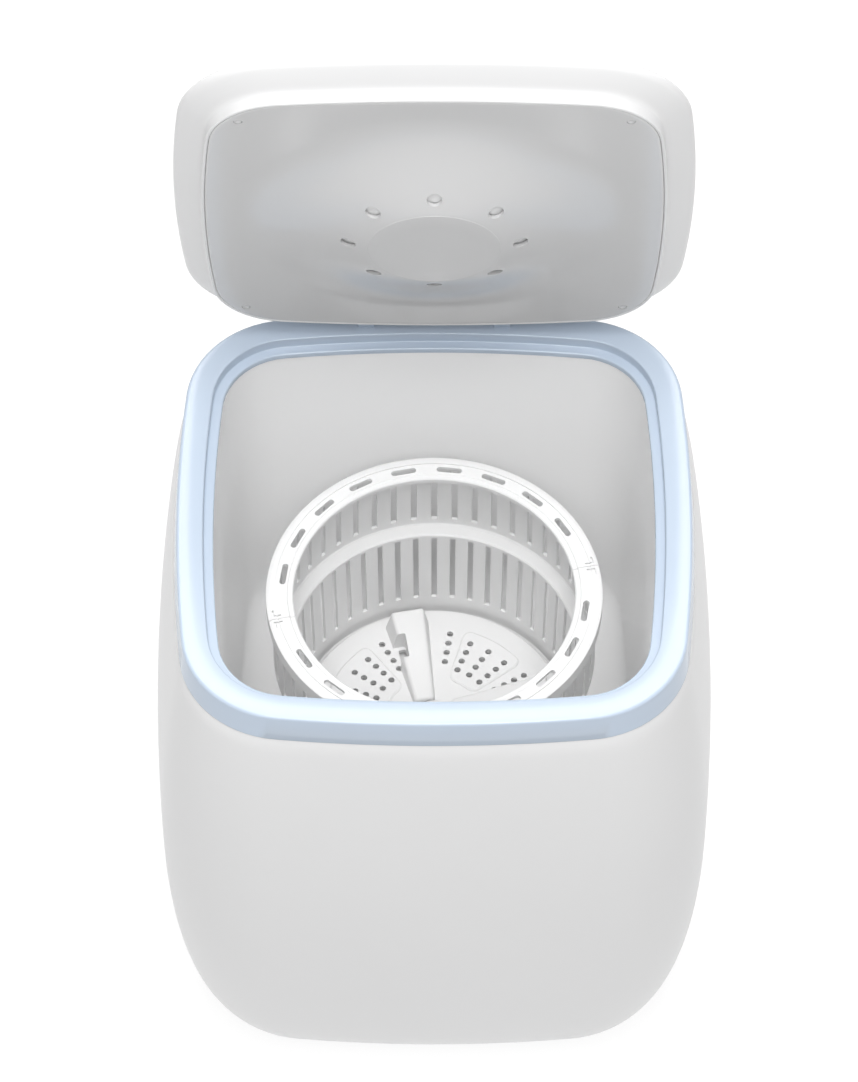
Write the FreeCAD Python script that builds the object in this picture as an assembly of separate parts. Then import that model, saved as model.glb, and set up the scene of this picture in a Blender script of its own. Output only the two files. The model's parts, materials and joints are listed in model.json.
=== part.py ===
import FreeCAD, Part
import math
import os

V = FreeCAD.Vector
UP = V(0, 0, 1)

# Plan outline shared by casing, bezel, tub and lid: four bulged sides joined by four corner arcs
DEPTH_RATIO = 0.985
CORNER_RATIO = 0.41
SIDE_RATIO = 6.14
LOFT_DEGREE = 3

# Casing: an egg-shaped shell, widest at the belly; a share is a fraction of the size it follows
FOOT_HEIGHT = 8.0
BASE_THICKNESS = 3.0
BODY_HEIGHT = 420.0
BODY_WIDTH = 374.6
BELLY_SHARE = 0.50238
BOTTOM_SHARE = 0.76295
CASE_WALL = 3.0
CASE_LIP_WIDTH = 12.0
UPPER_STEPS = 5
LOWER_STEPS = 7

# Bezel
BEZEL_SHARE = 0.90657
BEZEL_HEIGHT = 22.0
BEZEL_FLARE = 1.7
BEZEL_WALL = 2.5
BEZEL_TOP_THICKNESS = 3.0
BEZEL_EDGE = 2.0
TOP_FACE_WIDTH = 17.6
RECESS_DEPTH = 8.0
LIP_WIDTH = 6.7
LIP_THICKNESS = 4.0
TONGUE_LENGTH = 6.0
TONGUE_THICKNESS = 2.0
SEAT_GAP = 0.3

# Tub
TUB_SHARE = 0.62619
TUB_WALL = 2.5
TUB_FLOOR = 4.0
TUB_SETBACK = 0.5
TUB_TAPER = 14.0
TUB_FILLET = 25.0
FLANGE_THICKNESS = 3.0
TUB_SCREW_COUNT = 8

# Lid, drawn closed and then swung open about the hinge axis
LID_OPEN_ANGLE = 81.2
LID_WALL = 2.2
LID_SIDE_GAP = 0.9
LID_LIFT = 0.5
LID_OVERHANG = 18.3
LID_FLARE_HEIGHT = 15.5
LID_ROUND_WIDTH = 17.0
LID_ROUND_HEIGHT = 8.0
DOME_RISE = 5.0
DOME_SHARES = (0.93, 0.82, 0.66, 0.45, 0.2)
LID_ROUND_STEPS = (22, 44, 66, 90)
LID_SIDE_ROWS = (
    (0, 0), (0.01, 0.4), (0.04, 0.52), (0.15, 0.64), (0.45, 0.8), (0.78, 1.0), (0.93, 1.13), (1, 1.3),
)
LINER_THICKNESS = 2.5
LINER_GAP = 0.2
BELL_DEPTH = 24.0
BELL_FLAT_RADIUS = 43.5
BELL_LEAN = 1.1
BELL_STEPS = 10
BELL_SHARE = 0.75383
VENT_COUNT = 8
VENT_RADIUS = 5.0
VENT_CIRCLE = 56.0
LID_SCREW_SHARE_X = 0.73616
LID_SCREW_SHARE_Y = 0.72144

# Hinge
HINGE_BACK = 7.25
HINGE_RISE = 6.0
LUG_RADIUS = 5.0
LUG_WIDTH = 11.0
LUG_GAP = 0.5
LUG_PLACE = 28.5
PIN_RADIUS = 2.5
POCKET_RADIUS = 8.2

# Basket
RING_SHARE = 0.3346
RING_OUTER = 112.4
RING_INNER = 94.2
RING_TOP = 2.6
RING_SKIRT = 12.0
RING_SLOT_CIRCLE = 101.6
RING_SLOT_COUNT = 9
RING_SLOT_PITCH = 17.45
RING_SLOT_LENGTH = 17.0
RING_SLOT_WIDTH = 4.2
RING_TURN = -11.7
RING_SEAM = 0.4
BASKET_WALL = 2.2
UPPER_RADIUS = 106.2
LOWER_RADIUS = 96.6
FLOOR_RADIUS = 94.4
LEDGE_SHARE = 0.59696
SLOT_COUNT = 48
SLOT_WIDTH = 4.1
UPPER_SLOT_MARGIN = 6.0
LOWER_SLOT_MARGIN = 10.0
BASKET_FLOOR = 3.5
DRAIN_SLOT_COUNT = 16

# Pulsator
PULSATOR_LIFT = 26.0
PULSATOR_RADIUS = 90.3
PULSATOR_THICKNESS = 3.0
PULSATOR_GAP = 4.0
PULSATOR_TURN = -10.6
PANEL_RISE = 1.4
PANEL_INNER = 33.0
PANEL_OUTER = 76.0
PANEL_SPREAD = 18.3
HOLE_RADIUS = 2.2
HOLE_PITCH = 7.8
ROW_PITCH = 12.3
FLANK_ROW = 25.5
PANEL_HOLE_START = 42.6
FLANK_HOLE_START = 47.8
BLADE_OFFSET = -4.0
BLADE_START = 14.0
BLADE_END = 82.0
BLADE_TOP_INNER = 13.0
BLADE_TOP_OUTER = 22.5
BLADE_SLOPE = 4.0
BLADE_RISE_INNER = 5.0
TALL_BLADE_RISE = 20.0
LOW_BLADE_RISE = 12.0
WINDOW_LENGTH = 17.0
WINDOW_HEIGHT = 7.0
HUB_RADIUS = 13.0
HUB_RISE = 4.0

# Drive
SHAFT_RADIUS = 6.0
TUBE_RADIUS = 12.5
TUBE_BORE = 8.0
TUBE_END_SHARE = 0.42484
TUBE_FLANGE_RADIUS = 38.0
TUBE_FLANGE = 5.0
BUSH_LENGTH = 16.0
RUNNING_FIT = 0.04
SEATING_FIT = 0.02
BEARING_RADIUS = 21.0
BEARING_WIDTH = 12.0
SEAL_RADIUS = 22.0
SEAL_SEAT = 8.0
SEAL_PROUD = 2.0
HOUSING_RADIUS = 30.0
HOUSING_SHARE = 0.45752
HOUSING_FLANGE_RADIUS = 48.0
HOUSING_FLANGE = 6.0
DRUM_RADIUS = 24.0
DRUM_HEIGHT = 12.0
PLATE_THICKNESS = 3.0
PLATE_SHARE = 0.69935
POST_RADIUS = 7.0
POST_SHARE = 0.16551
POST_COUNT = 4
DAMPER_HEIGHT = 5.0
DAMPER_RADIUS = 9.0
PULLEY_SHARE = 0.20915
PULLEY_HEIGHT = 16.0
PULLEY_RADIUS = 62.0
PULLEY_RATIO = 4.0
PULLEY_WEB = 5.0
GROOVE_DEPTH = 6.0
BELT_THICKNESS = 5.0
BELT_WIDTH = 8.0
BELT_GAP = 0.3
NUT_HEIGHT = 7.0
NUT_FLATS = 18.0
MOTOR_SHARE_X = 0.22691
MOTOR_SHARE_Y = -0.20021
MOTOR_RADIUS = 40.0
MOTOR_HEIGHT_SHARE = 0.3268
MOTOR_SHAFT_RADIUS = 4.0
MOTOR_EAR_CIRCLE = 46.0
MOTOR_EAR_RADIUS = 6.0
CAPACITOR_SHARE_X = -0.21356
CAPACITOR_SHARE_Y = -0.14682
CAPACITOR_RADIUS = 16.0
CAPACITOR_HEIGHT_SHARE = 0.37908

# Drain
PUMP_X = -45.0
PUMP_SHARE_Y = 0.21356
PUMP_SHARE_Z = 0.34641
PUMP_RADIUS = 28.0
PUMP_HEIGHT = 30.0
PUMP_WALL = 3.0
PUMP_MOTOR_RADIUS = 20.0
PUMP_MOUNT_RADIUS = 25.0
PUMP_MOUNT_HEIGHT = 14.0
IMPELLER_RADIUS = 21.0
IMPELLER_SHAFT = 2.5
OUTLET_RADIUS = 9.0
SPIGOT_RADIUS = 9.0
SPIGOT_PLUG = 6.5
SPIGOT_BORE = 4.5
SPIGOT_REACH = 24.0
SPIGOT_FLANGE_RADIUS = 13.0
SPIGOT_FLANGE = 2.0
PLUG_DEPTH = 14.0
HOSE_RADIUS = 11.0
HOSE_WALL = 3.0
HOSE_OVERLAP = 12.0
SPOUT_LENGTH = 18.0

# Rear service bay and cord gland
BAY_WIDTH = 150.0
BAY_HEIGHT = 46.0
BAY_WALL = 2.5
BAY_DEPTH = 17.25
GLAND_X = 40.0
GLAND_RADIUS = 9.0
GLAND_BORE = 3.6
GLAND_SHANK = 6.5
GLAND_REACH = 9.0

# Control board behind the front wall, and the lid sensor
BOARD_WIDTH = 120.0
BOARD_HEIGHT = 56.0
BOARD_DROP = 72.0
BOARD_STANDOFF = 9.4
BOARD_THICKNESS = 1.6
BOARD_BOSS_RADIUS = 4.0
BOARD_MARGIN = 6.0
SENSOR_X = 20.0
SENSOR_LENGTH = 18.0
SENSOR_SIZE = 5.0
MAGNET_RADIUS = 5.0
MAGNET_HEIGHT = 4.0

# Feet and screws
FOOT_RADIUS = 14.0
FOOT_SHARE = 0.58782
STEM_RADIUS = 4.0
SCREW_HEAD_RADIUS = 3.6
SCREW_HEAD = 2.2
SCREW_RADIUS = 1.9
SCREW_FIT = 0.05
BOSS_RADIUS = 4.6
BASE_SCREW_COUNT = 4

# Levels and half sizes that follow from the sizes above
CASE_Z = FOOT_HEIGHT + BASE_THICKNESS
RIM_Z = CASE_Z + BODY_HEIGHT
CASE_TOP_Z = RIM_Z - BEZEL_HEIGHT
BELLY_HEIGHT = BODY_HEIGHT * BELLY_SHARE
BELLY_Z = CASE_Z + BELLY_HEIGHT
BELLY_HALF = BODY_WIDTH / 2
BOTTOM_HALF = BODY_WIDTH * BOTTOM_SHARE / 2
BEZEL_HALF = BODY_WIDTH * BEZEL_SHARE / 2
CASE_TOP_HALF = BEZEL_HALF + BEZEL_FLARE
LIP_TOP_Z = RIM_Z - RECESS_DEPTH
LIP_Z = LIP_TOP_Z - LIP_THICKNESS
MOUTH_INSET = TOP_FACE_WIDTH + LIP_WIDTH
TUB_INSET = MOUTH_INSET - TUB_SETBACK
TUB_DEPTH = BODY_HEIGHT * TUB_SHARE
TUB_FLOOR_Z = RIM_Z - TUB_DEPTH
TUB_UNDER_Z = TUB_FLOOR_Z - TUB_FLOOR
HINGE_Y = BEZEL_HALF * DEPTH_RATIO - HINGE_BACK
HINGE_Z = RIM_Z + HINGE_RISE
RING_Z = RIM_Z - TUB_DEPTH * RING_SHARE
LEDGE_Z = RIM_Z - TUB_DEPTH * LEDGE_SHARE
PULSATOR_Z = TUB_FLOOR_Z + PULSATOR_LIFT
BASKET_FLOOR_Z = PULSATOR_Z - PULSATOR_THICKNESS - PULSATOR_GAP
HUB_TOP_Z = BASKET_FLOOR_Z - BASKET_FLOOR
SCREW_HOLE = SCREW_RADIUS + SCREW_FIT
LID_SCREW_X = BEZEL_HALF * LID_SCREW_SHARE_X
LID_SCREW_Y = BEZEL_HALF * LID_SCREW_SHARE_Y
BELL_OUTER_RADIUS = BEZEL_HALF * BELL_SHARE
DRIVE_SPACE = TUB_UNDER_Z - CASE_Z
TUBE_END = CASE_Z + DRIVE_SPACE * TUBE_END_SHARE
HOUSING_LENGTH = DRIVE_SPACE * HOUSING_SHARE
PLATE_Z = CASE_Z + DRIVE_SPACE * PLATE_SHARE
POST_CIRCLE = BODY_WIDTH * POST_SHARE
PULLEY_Z = CASE_Z + DRIVE_SPACE * PULLEY_SHARE
MOTOR_X = BODY_WIDTH * MOTOR_SHARE_X
MOTOR_Y = BODY_WIDTH * MOTOR_SHARE_Y
MOTOR_HEIGHT = DRIVE_SPACE * MOTOR_HEIGHT_SHARE
CAPACITOR_X = BODY_WIDTH * CAPACITOR_SHARE_X
CAPACITOR_Y = BODY_WIDTH * CAPACITOR_SHARE_Y
CAPACITOR_HEIGHT = DRIVE_SPACE * CAPACITOR_HEIGHT_SHARE
PUMP_Y = BODY_WIDTH * PUMP_SHARE_Y
PUMP_Z = CASE_Z + DRIVE_SPACE * PUMP_SHARE_Z
FOOT_PLACE = BOTTOM_HALF * FOOT_SHARE
STEM_LENGTH = BASE_THICKNESS


def case_half(level):
    """Half width of the casing at a level."""
    if level > BELLY_Z:
        rise = (level - BELLY_Z) / (CASE_TOP_Z - BELLY_Z)
        return BELLY_HALF - (BELLY_HALF - CASE_TOP_HALF) * rise ** 2
    fall = min((BELLY_Z - level) / BELLY_HEIGHT, 1.0)
    return BOTTOM_HALF + (BELLY_HALF - BOTTOM_HALF) * math.sqrt(1 - fall ** 2)


BAY_Z = PUMP_Z + PUMP_HEIGHT / 2
BAY_FLOOR_Y = round(case_half(BAY_Z) * DEPTH_RATIO - BAY_DEPTH, 1)
BOARD_Z = RIM_Z - BOARD_DROP
BOARD_BACKSET = round(case_half(BOARD_Z) * DEPTH_RATIO - BOARD_STANDOFF, 1)

parts = {}


def box(x0, x1, y0, y1, z0, z1):
    """Upright box between two corners."""
    return Part.makeBox(x1 - x0, y1 - y0, z1 - z0, V(x0, y0, z0))


def disc(radius, z0, z1, x=0.0, y=0.0):
    """Upright cylinder between two levels."""
    return Part.makeCylinder(radius, z1 - z0, V(x, y, z0), UP)


def tube(outer, inner, z0, z1, x=0.0, y=0.0):
    """Upright tube between two levels."""
    return disc(outer, z0, z1, x, y).cut(disc(inner, z0 - 1, z1 + 1, x, y))


def rod(radius, axis, start, end, u, w):
    """Cylinder along X at (y=u, z=w) or along Y at (x=u, z=w)."""
    if axis == "x":
        return Part.makeCylinder(radius, end - start, V(start, u, w), V(1, 0, 0))
    return Part.makeCylinder(radius, end - start, V(u, start, w), V(0, 1, 0))


def spun(points):
    """Solid of revolution about the drum axis from a closed (radius, level) polygon."""
    corners = [V(r, 0, z) for r, z in points]
    face = Part.Face(Part.makePolygon(corners + corners[:1]))
    return face.revolve(V(0, 0, 0), UP, 360)


def turned(shape, degrees):
    """Copy turned about the drum axis, clockwise seen from above."""
    copy = shape.copy()
    copy.rotate(V(0, 0, 0), UP, -degrees)
    return copy


def around(shape, count, first=0.0):
    """Evenly spaced copies about the drum axis."""
    return [turned(shape, first + 360.0 * i / count) for i in range(count)]


def clock(radius, degrees):
    """Point at an angle measured clockwise from the back of the machine."""
    return radius * math.sin(math.radians(degrees)), radius * math.cos(math.radians(degrees))


def outline(half, z, inset=0.0):
    """Closed rounded-square wire: bulged sides and tangent corner arcs."""
    a = half - inset
    b = half * DEPTH_RATIO - inset
    side = half * SIDE_RATIO - inset
    corner = half * CORNER_RATIO - inset
    gap_x = side - a
    gap_y = side - b
    span = math.hypot(gap_x, gap_y)
    lift = math.sqrt((side - corner) ** 2 - span ** 2 / 4)
    cx = -gap_x / 2 + lift * gap_y / span
    cy = -gap_y / 2 + lift * gap_x / span
    ux = (cx + gap_x) / (side - corner)
    uy = cy / (side - corner)
    vx = cx / (side - corner)
    vy = (cy + gap_y) / (side - corner)
    mid = math.hypot(ux + vx, uy + vy)
    mx = cx + corner * (ux + vx) / mid
    my = cy + corner * (uy + vy) / mid
    px, py = cx + corner * ux, cy + corner * uy
    qx, qy = cx + corner * vx, cy + corner * vy
    stations = [
        ((px, -py), (a, 0), (px, py)), ((px, py), (mx, my), (qx, qy)),
        ((qx, qy), (0, b), (-qx, qy)), ((-qx, qy), (-mx, my), (-px, py)),
        ((-px, py), (-a, 0), (-px, -py)), ((-px, -py), (-mx, -my), (-qx, -qy)),
        ((-qx, -qy), (0, -b), (qx, -qy)), ((qx, -qy), (mx, -my), (px, -py)),
    ]
    edges = []
    for points in stations:
        edges.append(Part.Arc(*[V(x, y, z) for x, y in points]).toShape())
    return Part.Wire(edges)


def skin(stations):
    """Smooth solid through rounded-square outlines given as (half width, level)."""
    return Part.makeLoft([outline(half, z) for half, z in stations], True, False, False, LOFT_DEGREE)


def slab(half, inset, z0, z1):
    """Straight rounded-square block."""
    return Part.Face(outline(half, z0, inset)).extrude(V(0, 0, z1 - z0))


def frame(half, outer_inset, inner_inset, z0, z1):
    """Straight rounded-square ring."""
    return slab(half, outer_inset, z0, z1).cut(slab(half, inner_inset, z0 - 1, z1 + 1))


def screw(x, y, z, length, down=False, head_radius=SCREW_HEAD_RADIUS):
    """Pan-head screw with a cross recess; z is the seat under the head, the shank points up."""
    head = disc(head_radius, -SCREW_HEAD, 0)
    for turn in (0, 90):
        bar = box(-head_radius * 0.6, head_radius * 0.6, -0.4, 0.4, -SCREW_HEAD - 1, -SCREW_HEAD / 2)
        bar.rotate(V(0, 0, 0), UP, turn)
        head = head.cut(bar)
    body = head.fuse(disc(SCREW_RADIUS, 0, length)).removeSplitter()
    if down:
        body.rotate(V(0, 0, 0), V(1, 0, 0), 180)
    body.translate(V(x, y, z))
    return body


def hull_wire(big, small, distance, z):
    """Outline of a belt around two circles, the small one at the given distance along X."""
    lean = math.acos((big - small) / distance)
    c, s = math.cos(lean), math.sin(lean)
    edges = [
        Part.makeLine(V(big * c, big * s, z), V(distance + small * c, small * s, z)),
        Part.Arc(V(distance + small * c, small * s, z), V(distance + small, 0, z),
                 V(distance + small * c, -small * s, z)).toShape(),
        Part.makeLine(V(distance + small * c, -small * s, z), V(big * c, -big * s, z)),
        Part.Arc(V(big * c, -big * s, z), V(-big, 0, z), V(big * c, big * s, z)).toShape(),
    ]
    return Part.Wire(edges)


def case_profile(inset):
    """(half width, level) stations of the casing wall from top to bottom, offset inward."""
    stations = []
    rise = CASE_TOP_Z - BELLY_Z
    draw_in = BELLY_HALF - CASE_TOP_HALF
    for i in range(UPPER_STEPS):
        t = 1 - i / UPPER_STEPS
        slope = 2 * draw_in * t / rise
        norm = math.hypot(1, slope)
        stations.append((BELLY_HALF - draw_in * t * t - inset / norm,
                         BELLY_Z + rise * t - inset * slope / norm))
    wide = BELLY_HALF - BOTTOM_HALF
    for i in range(LOWER_STEPS + 1):
        t = math.pi / 2 * i / LOWER_STEPS
        nx, nz = math.cos(t) / wide, math.sin(t) / BELLY_HEIGHT
        norm = math.hypot(nx, nz)
        stations.append((BOTTOM_HALF + wide * math.cos(t) - inset * nx / norm,
                         BELLY_Z - BELLY_HEIGHT * math.sin(t) + inset * nz / norm))
    return stations


def casing_solid(inset):
    """Filled casing shape at an inward offset."""
    stations = case_profile(inset)
    if inset > 0:
        half, level = stations[0]
        stations = [(half, CASE_TOP_Z + 5)] + stations
    return skin(stations)


def screw_points(inset, count, half):
    """Points spread round a rounded-square track, clear of the hinge line at the back."""
    wire = outline(half, 0, inset)
    points = []
    for i in range(count):
        angle = 360.0 * (i + 0.5) / count
        x, y = clock(2 * half, angle)
        ray = Part.makeLine(V(0, 0, 0), V(x, y, 0))
        near = wire.distToShape(ray)[1][0][0]
        points.append((near.x, near.y))
    return points


def make_cabinet():
    """Casing, bezel, tub, base, feet and their screws."""
    outer = casing_solid(0)
    shell = outer.cut(casing_solid(CASE_WALL))
    opening = CASE_LIP_WIDTH
    shell = shell.cut(slab(BOTTOM_HALF, opening, CASE_Z - 1, CASE_Z + CASE_WALL + 1))
    bay_z = BAY_Z
    window = box(-BAY_WIDTH / 2 - SEAT_GAP, BAY_WIDTH / 2 + SEAT_GAP, BAY_FLOOR_Y, BAY_FLOOR_Y + 60,
                 bay_z - BAY_HEIGHT / 2 - SEAT_GAP, bay_z + BAY_HEIGHT / 2 + SEAT_GAP)
    shell = shell.cut(window)
    side = BAY_WIDTH / 2
    low, high = bay_z - BAY_HEIGHT / 2, bay_z + BAY_HEIGHT / 2
    front_y, back_y = BAY_FLOOR_Y + BAY_WALL, BAY_FLOOR_Y + 60
    plate = box(-side, side, BAY_FLOOR_Y, front_y, low, high)
    plate = plate.cut(rod(SPIGOT_PLUG + SEAT_GAP, "y", BAY_FLOOR_Y - 1, front_y + 1, PUMP_X, bay_z))
    plate = plate.cut(rod(GLAND_SHANK + SEATING_FIT, "y", BAY_FLOOR_Y - 1, front_y + 1, GLAND_X, bay_z))
    walls = [box(-side, side, front_y, back_y, high - BAY_WALL, high),
             box(-side, side, front_y, back_y, low, low + BAY_WALL),
             box(-side, -side + BAY_WALL, front_y, back_y, low + BAY_WALL, high - BAY_WALL),
             box(side - BAY_WALL, side, front_y, back_y, low + BAY_WALL, high - BAY_WALL)]
    parts["rear_panel"] = Part.makeCompound([plate] + [wall.common(outer) for wall in walls])

    gland = rod(GLAND_RADIUS, "y", BAY_FLOOR_Y + BAY_WALL, BAY_FLOOR_Y + BAY_WALL + 3, GLAND_X, bay_z)
    gland = gland.fuse(rod(GLAND_SHANK, "y", BAY_FLOOR_Y - 4, BAY_FLOOR_Y + BAY_WALL + GLAND_REACH,
                           GLAND_X, bay_z))
    gland = gland.fuse(rod(GLAND_RADIUS - 1, "y", BAY_FLOOR_Y - 4, BAY_FLOOR_Y, GLAND_X, bay_z))
    gland = gland.cut(rod(GLAND_BORE, "y", BAY_FLOOR_Y - 5, BAY_FLOOR_Y + 40, GLAND_X, bay_z))
    parts["cord_gland"] = gland.removeSplitter()

    board_z = BOARD_Z
    bosses = []
    board_points = []
    for sx in (-1, 1):
        for sz in (-1, 1):
            x = sx * (BOARD_WIDTH / 2 - BOARD_MARGIN)
            z = board_z + sz * (BOARD_HEIGHT / 2 - BOARD_MARGIN)
            board_points.append((x, z))
            boss = rod(BOARD_BOSS_RADIUS, "y", -BOARD_BACKSET - 40, -BOARD_BACKSET, x, z).common(outer)
            bosses.append(boss)
    base_points = screw_points(CASE_LIP_WIDTH / 2, BASE_SCREW_COUNT, BOTTOM_HALF)
    for x, y in base_points:
        bosses.append(disc(BOSS_RADIUS, CASE_Z, CASE_Z + 9, x, y).common(outer))
    shell = shell.fuse(bosses).removeSplitter()
    pilots = [disc(SCREW_HOLE, CASE_Z - 1, CASE_Z + 8, x, y) for x, y in base_points]
    pilots += [rod(SCREW_HOLE, "y", -BOARD_BACKSET - 4.5, -BOARD_BACKSET + 1, x, z) for x, z in board_points]
    shell = shell.cut(pilots)
    parts["outer_casing"] = shell

    board = box(-BOARD_WIDTH / 2, BOARD_WIDTH / 2, -BOARD_BACKSET, -BOARD_BACKSET + BOARD_THICKNESS,
                board_z - BOARD_HEIGHT / 2, board_z + BOARD_HEIGHT / 2)
    face_y = -BOARD_BACKSET + BOARD_THICKNESS
    for x, z, w, h, t in ((-30, 4, 26, 22, 9), (4, -8, 18, 14, 8), (30, 8, 20, 16, 6), (28, -14, 24, 8, 7)):
        low, high = board_z + z - h / 2, board_z + z + h / 2
        board = board.fuse(box(x - w / 2, x + w / 2, face_y, face_y + t, low, high))
    board = board.cut([rod(SCREW_HOLE, "y", -BOARD_BACKSET - 1, face_y + 1, x, z) for x, z in board_points])
    parts["control_board"] = board.removeSplitter()
    fixings = []
    for x, z in board_points:
        fixing = screw(0, 0, 0, BOARD_THICKNESS + 4)
        fixing.rotate(V(0, 0, 0), V(1, 0, 0), 90)
        fixing.translate(V(x, face_y, z))
        fixings.append(fixing)
    parts["board_screws"] = Part.makeCompound(fixings)

    make_bezel_and_tub()
    make_base(base_points)


def make_bezel_and_tub():
    """Bezel ring with its hinge lugs, and the tub hung from its bosses."""
    low = outline(CASE_TOP_HALF, CASE_TOP_Z)
    high = outline(BEZEL_HALF, RIM_Z)
    ring = Part.makeLoft([low, high], True, True)
    rim_edges = [e for e in ring.Edges if abs(e.BoundBox.ZMin - RIM_Z) < 0.01]
    ring = ring.makeFillet(BEZEL_EDGE, rim_edges)
    ring = ring.cut(slab(BEZEL_HALF, TOP_FACE_WIDTH, LIP_TOP_Z, RIM_Z + 1))
    ring = ring.cut(slab(BEZEL_HALF, MOUTH_INSET, CASE_TOP_Z - 1, RIM_Z))
    inner_wall = TOP_FACE_WIDTH - BEZEL_WALL
    ring = ring.cut(frame(BEZEL_HALF, BEZEL_WALL, inner_wall, CASE_TOP_Z - 1, RIM_Z - BEZEL_TOP_THICKNESS))
    ring = ring.cut(slab(BEZEL_HALF, inner_wall, CASE_TOP_Z - 1, LIP_Z))
    tongue_inset = CASE_WALL + SEAT_GAP + 0.3
    tongue = frame(CASE_TOP_HALF, tongue_inset, tongue_inset + TONGUE_THICKNESS,
                   CASE_TOP_Z - TONGUE_LENGTH, RIM_Z - BEZEL_TOP_THICKNESS)
    ring = ring.fuse(tongue)
    boss_inset = (BEZEL_WALL + inner_wall) / 2 + 1.5
    points = screw_points(boss_inset, TUB_SCREW_COUNT, BEZEL_HALF)
    ring = ring.fuse([disc(BOSS_RADIUS, LIP_Z, RIM_Z - BEZEL_TOP_THICKNESS + 0.5, x, y) for x, y in points])
    lugs = []
    bores = []
    for side in (-1, 1):
        near = LUG_PLACE + LUG_WIDTH + LUG_GAP
        x0, x1 = sorted((side * near, side * (near + LUG_WIDTH)))
        lugs.append(rod(LUG_RADIUS, "x", x0, x1, HINGE_Y, HINGE_Z))
        lugs.append(box(x0, x1, HINGE_Y - LUG_RADIUS, HINGE_Y + LUG_RADIUS, RIM_Z - 1, HINGE_Z))
        bores.append(rod(PIN_RADIUS + SEATING_FIT, "x", x0 - 1, x1 + 1, HINGE_Y, HINGE_Z))
    ring = ring.fuse(lugs).cut(bores)
    ring = ring.cut([disc(SCREW_HOLE, LIP_Z - 1, LIP_Z + 7.5, x, y) for x, y in points])
    parts["top_bezel"] = ring.removeSplitter()

    deep_inset = TUB_INSET + TUB_TAPER
    inside = Part.makeLoft([outline(BEZEL_HALF, TUB_FLOOR_Z, deep_inset),
                            outline(BEZEL_HALF, LIP_Z, TUB_INSET)], True, True)
    outside = Part.makeLoft([outline(BEZEL_HALF, TUB_UNDER_Z, deep_inset - TUB_WALL),
                             outline(BEZEL_HALF, LIP_Z, TUB_INSET - TUB_WALL)], True, True)
    floor_edges = [e for e in inside.Edges if abs(e.BoundBox.ZMax - TUB_FLOOR_Z) < 0.01]
    inside = inside.makeFillet(TUB_FILLET, floor_edges)
    under_edges = [e for e in outside.Edges if abs(e.BoundBox.ZMax - TUB_UNDER_Z) < 0.01]
    outside = outside.makeFillet(TUB_FILLET, under_edges)
    flange = frame(BEZEL_HALF, tongue_inset + TONGUE_THICKNESS - BEZEL_FLARE + 0.6, TUB_INSET - TUB_WALL / 2,
                   LIP_Z - FLANGE_THICKNESS, LIP_Z)
    tub = outside.cut(inside).fuse(flange)
    posts = []
    for angle in range(POST_COUNT):
        x, y = clock(POST_CIRCLE, 45 + 360.0 * angle / POST_COUNT)
        posts.append(disc(POST_RADIUS, PLATE_Z + PLATE_THICKNESS + DAMPER_HEIGHT, TUB_UNDER_Z + 1, x, y))
    posts.append(disc(HOSE_RADIUS, TUB_UNDER_Z - SPOUT_LENGTH, TUB_UNDER_Z + 1, PUMP_X, PUMP_Y))
    tub = tub.fuse(posts)
    holes = [disc(SCREW_HOLE, LIP_Z - FLANGE_THICKNESS - 1, LIP_Z + 1, x, y) for x, y in points]
    holes.append(disc(SEAL_RADIUS + SEATING_FIT, TUB_UNDER_Z - 1, TUB_FLOOR_Z + 1))
    holes.append(disc(HOSE_RADIUS - 3, TUB_UNDER_Z - SPOUT_LENGTH - 1, TUB_FLOOR_Z + 1, PUMP_X, PUMP_Y))
    for angle in range(POST_COUNT):
        x, y = clock(POST_CIRCLE, 45 + 360.0 * angle / POST_COUNT)
        holes.append(disc(SCREW_HOLE, PLATE_Z, PLATE_Z + PLATE_THICKNESS + DAMPER_HEIGHT + 14, x, y))
        x, y = clock((HOUSING_RADIUS + HOUSING_FLANGE_RADIUS) / 2, 360.0 * angle / POST_COUNT)
        holes.append(disc(SCREW_HOLE, TUB_UNDER_Z - 1, TUB_FLOOR_Z - 1, x, y))
    parts["inner_tub"] = tub.cut(holes).removeSplitter()
    seat = LIP_Z - FLANGE_THICKNESS
    parts["tub_screws"] = Part.makeCompound([screw(x, y, seat, FLANGE_THICKNESS + 7) for x, y in points])


def make_base(base_points):
    """Base plate with vents, rubber feet and screws."""
    plate = slab(BOTTOM_HALF, 1.0, FOOT_HEIGHT, CASE_Z)
    vents = [box(MOTOR_X - 46 + 14 * i, MOTOR_X - 41 + 14 * i, MOTOR_Y + 30, MOTOR_Y + 62,
                 FOOT_HEIGHT - 1, CASE_Z + 1)
             for i in range(-6, 2)]
    feet = []
    for sx in (-1, 1):
        for sy in (-1, 1):
            x, y = sx * FOOT_PLACE, sy * FOOT_PLACE
            vents.append(disc(STEM_RADIUS + SEATING_FIT, FOOT_HEIGHT - 1, CASE_Z + 1, x, y))
            foot = Part.makeCone(FOOT_RADIUS - 2, FOOT_RADIUS, 2.0, V(x, y, 0), UP)
            foot = foot.fuse(disc(FOOT_RADIUS, 2.0, FOOT_HEIGHT, x, y))
            foot = foot.fuse(disc(STEM_RADIUS, FOOT_HEIGHT, FOOT_HEIGHT + STEM_LENGTH, x, y))
            feet.append(foot.removeSplitter())
    vents += [disc(SCREW_HOLE, FOOT_HEIGHT - 1, CASE_Z + 1, x, y) for x, y in base_points]
    parts["base_plate"] = plate.cut(vents)
    parts["rubber_feet"] = Part.makeCompound(feet)
    parts["base_screws"] = Part.makeCompound(
        [screw(x, y, FOOT_HEIGHT, BASE_THICKNESS + 7) for x, y in base_points])


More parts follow.
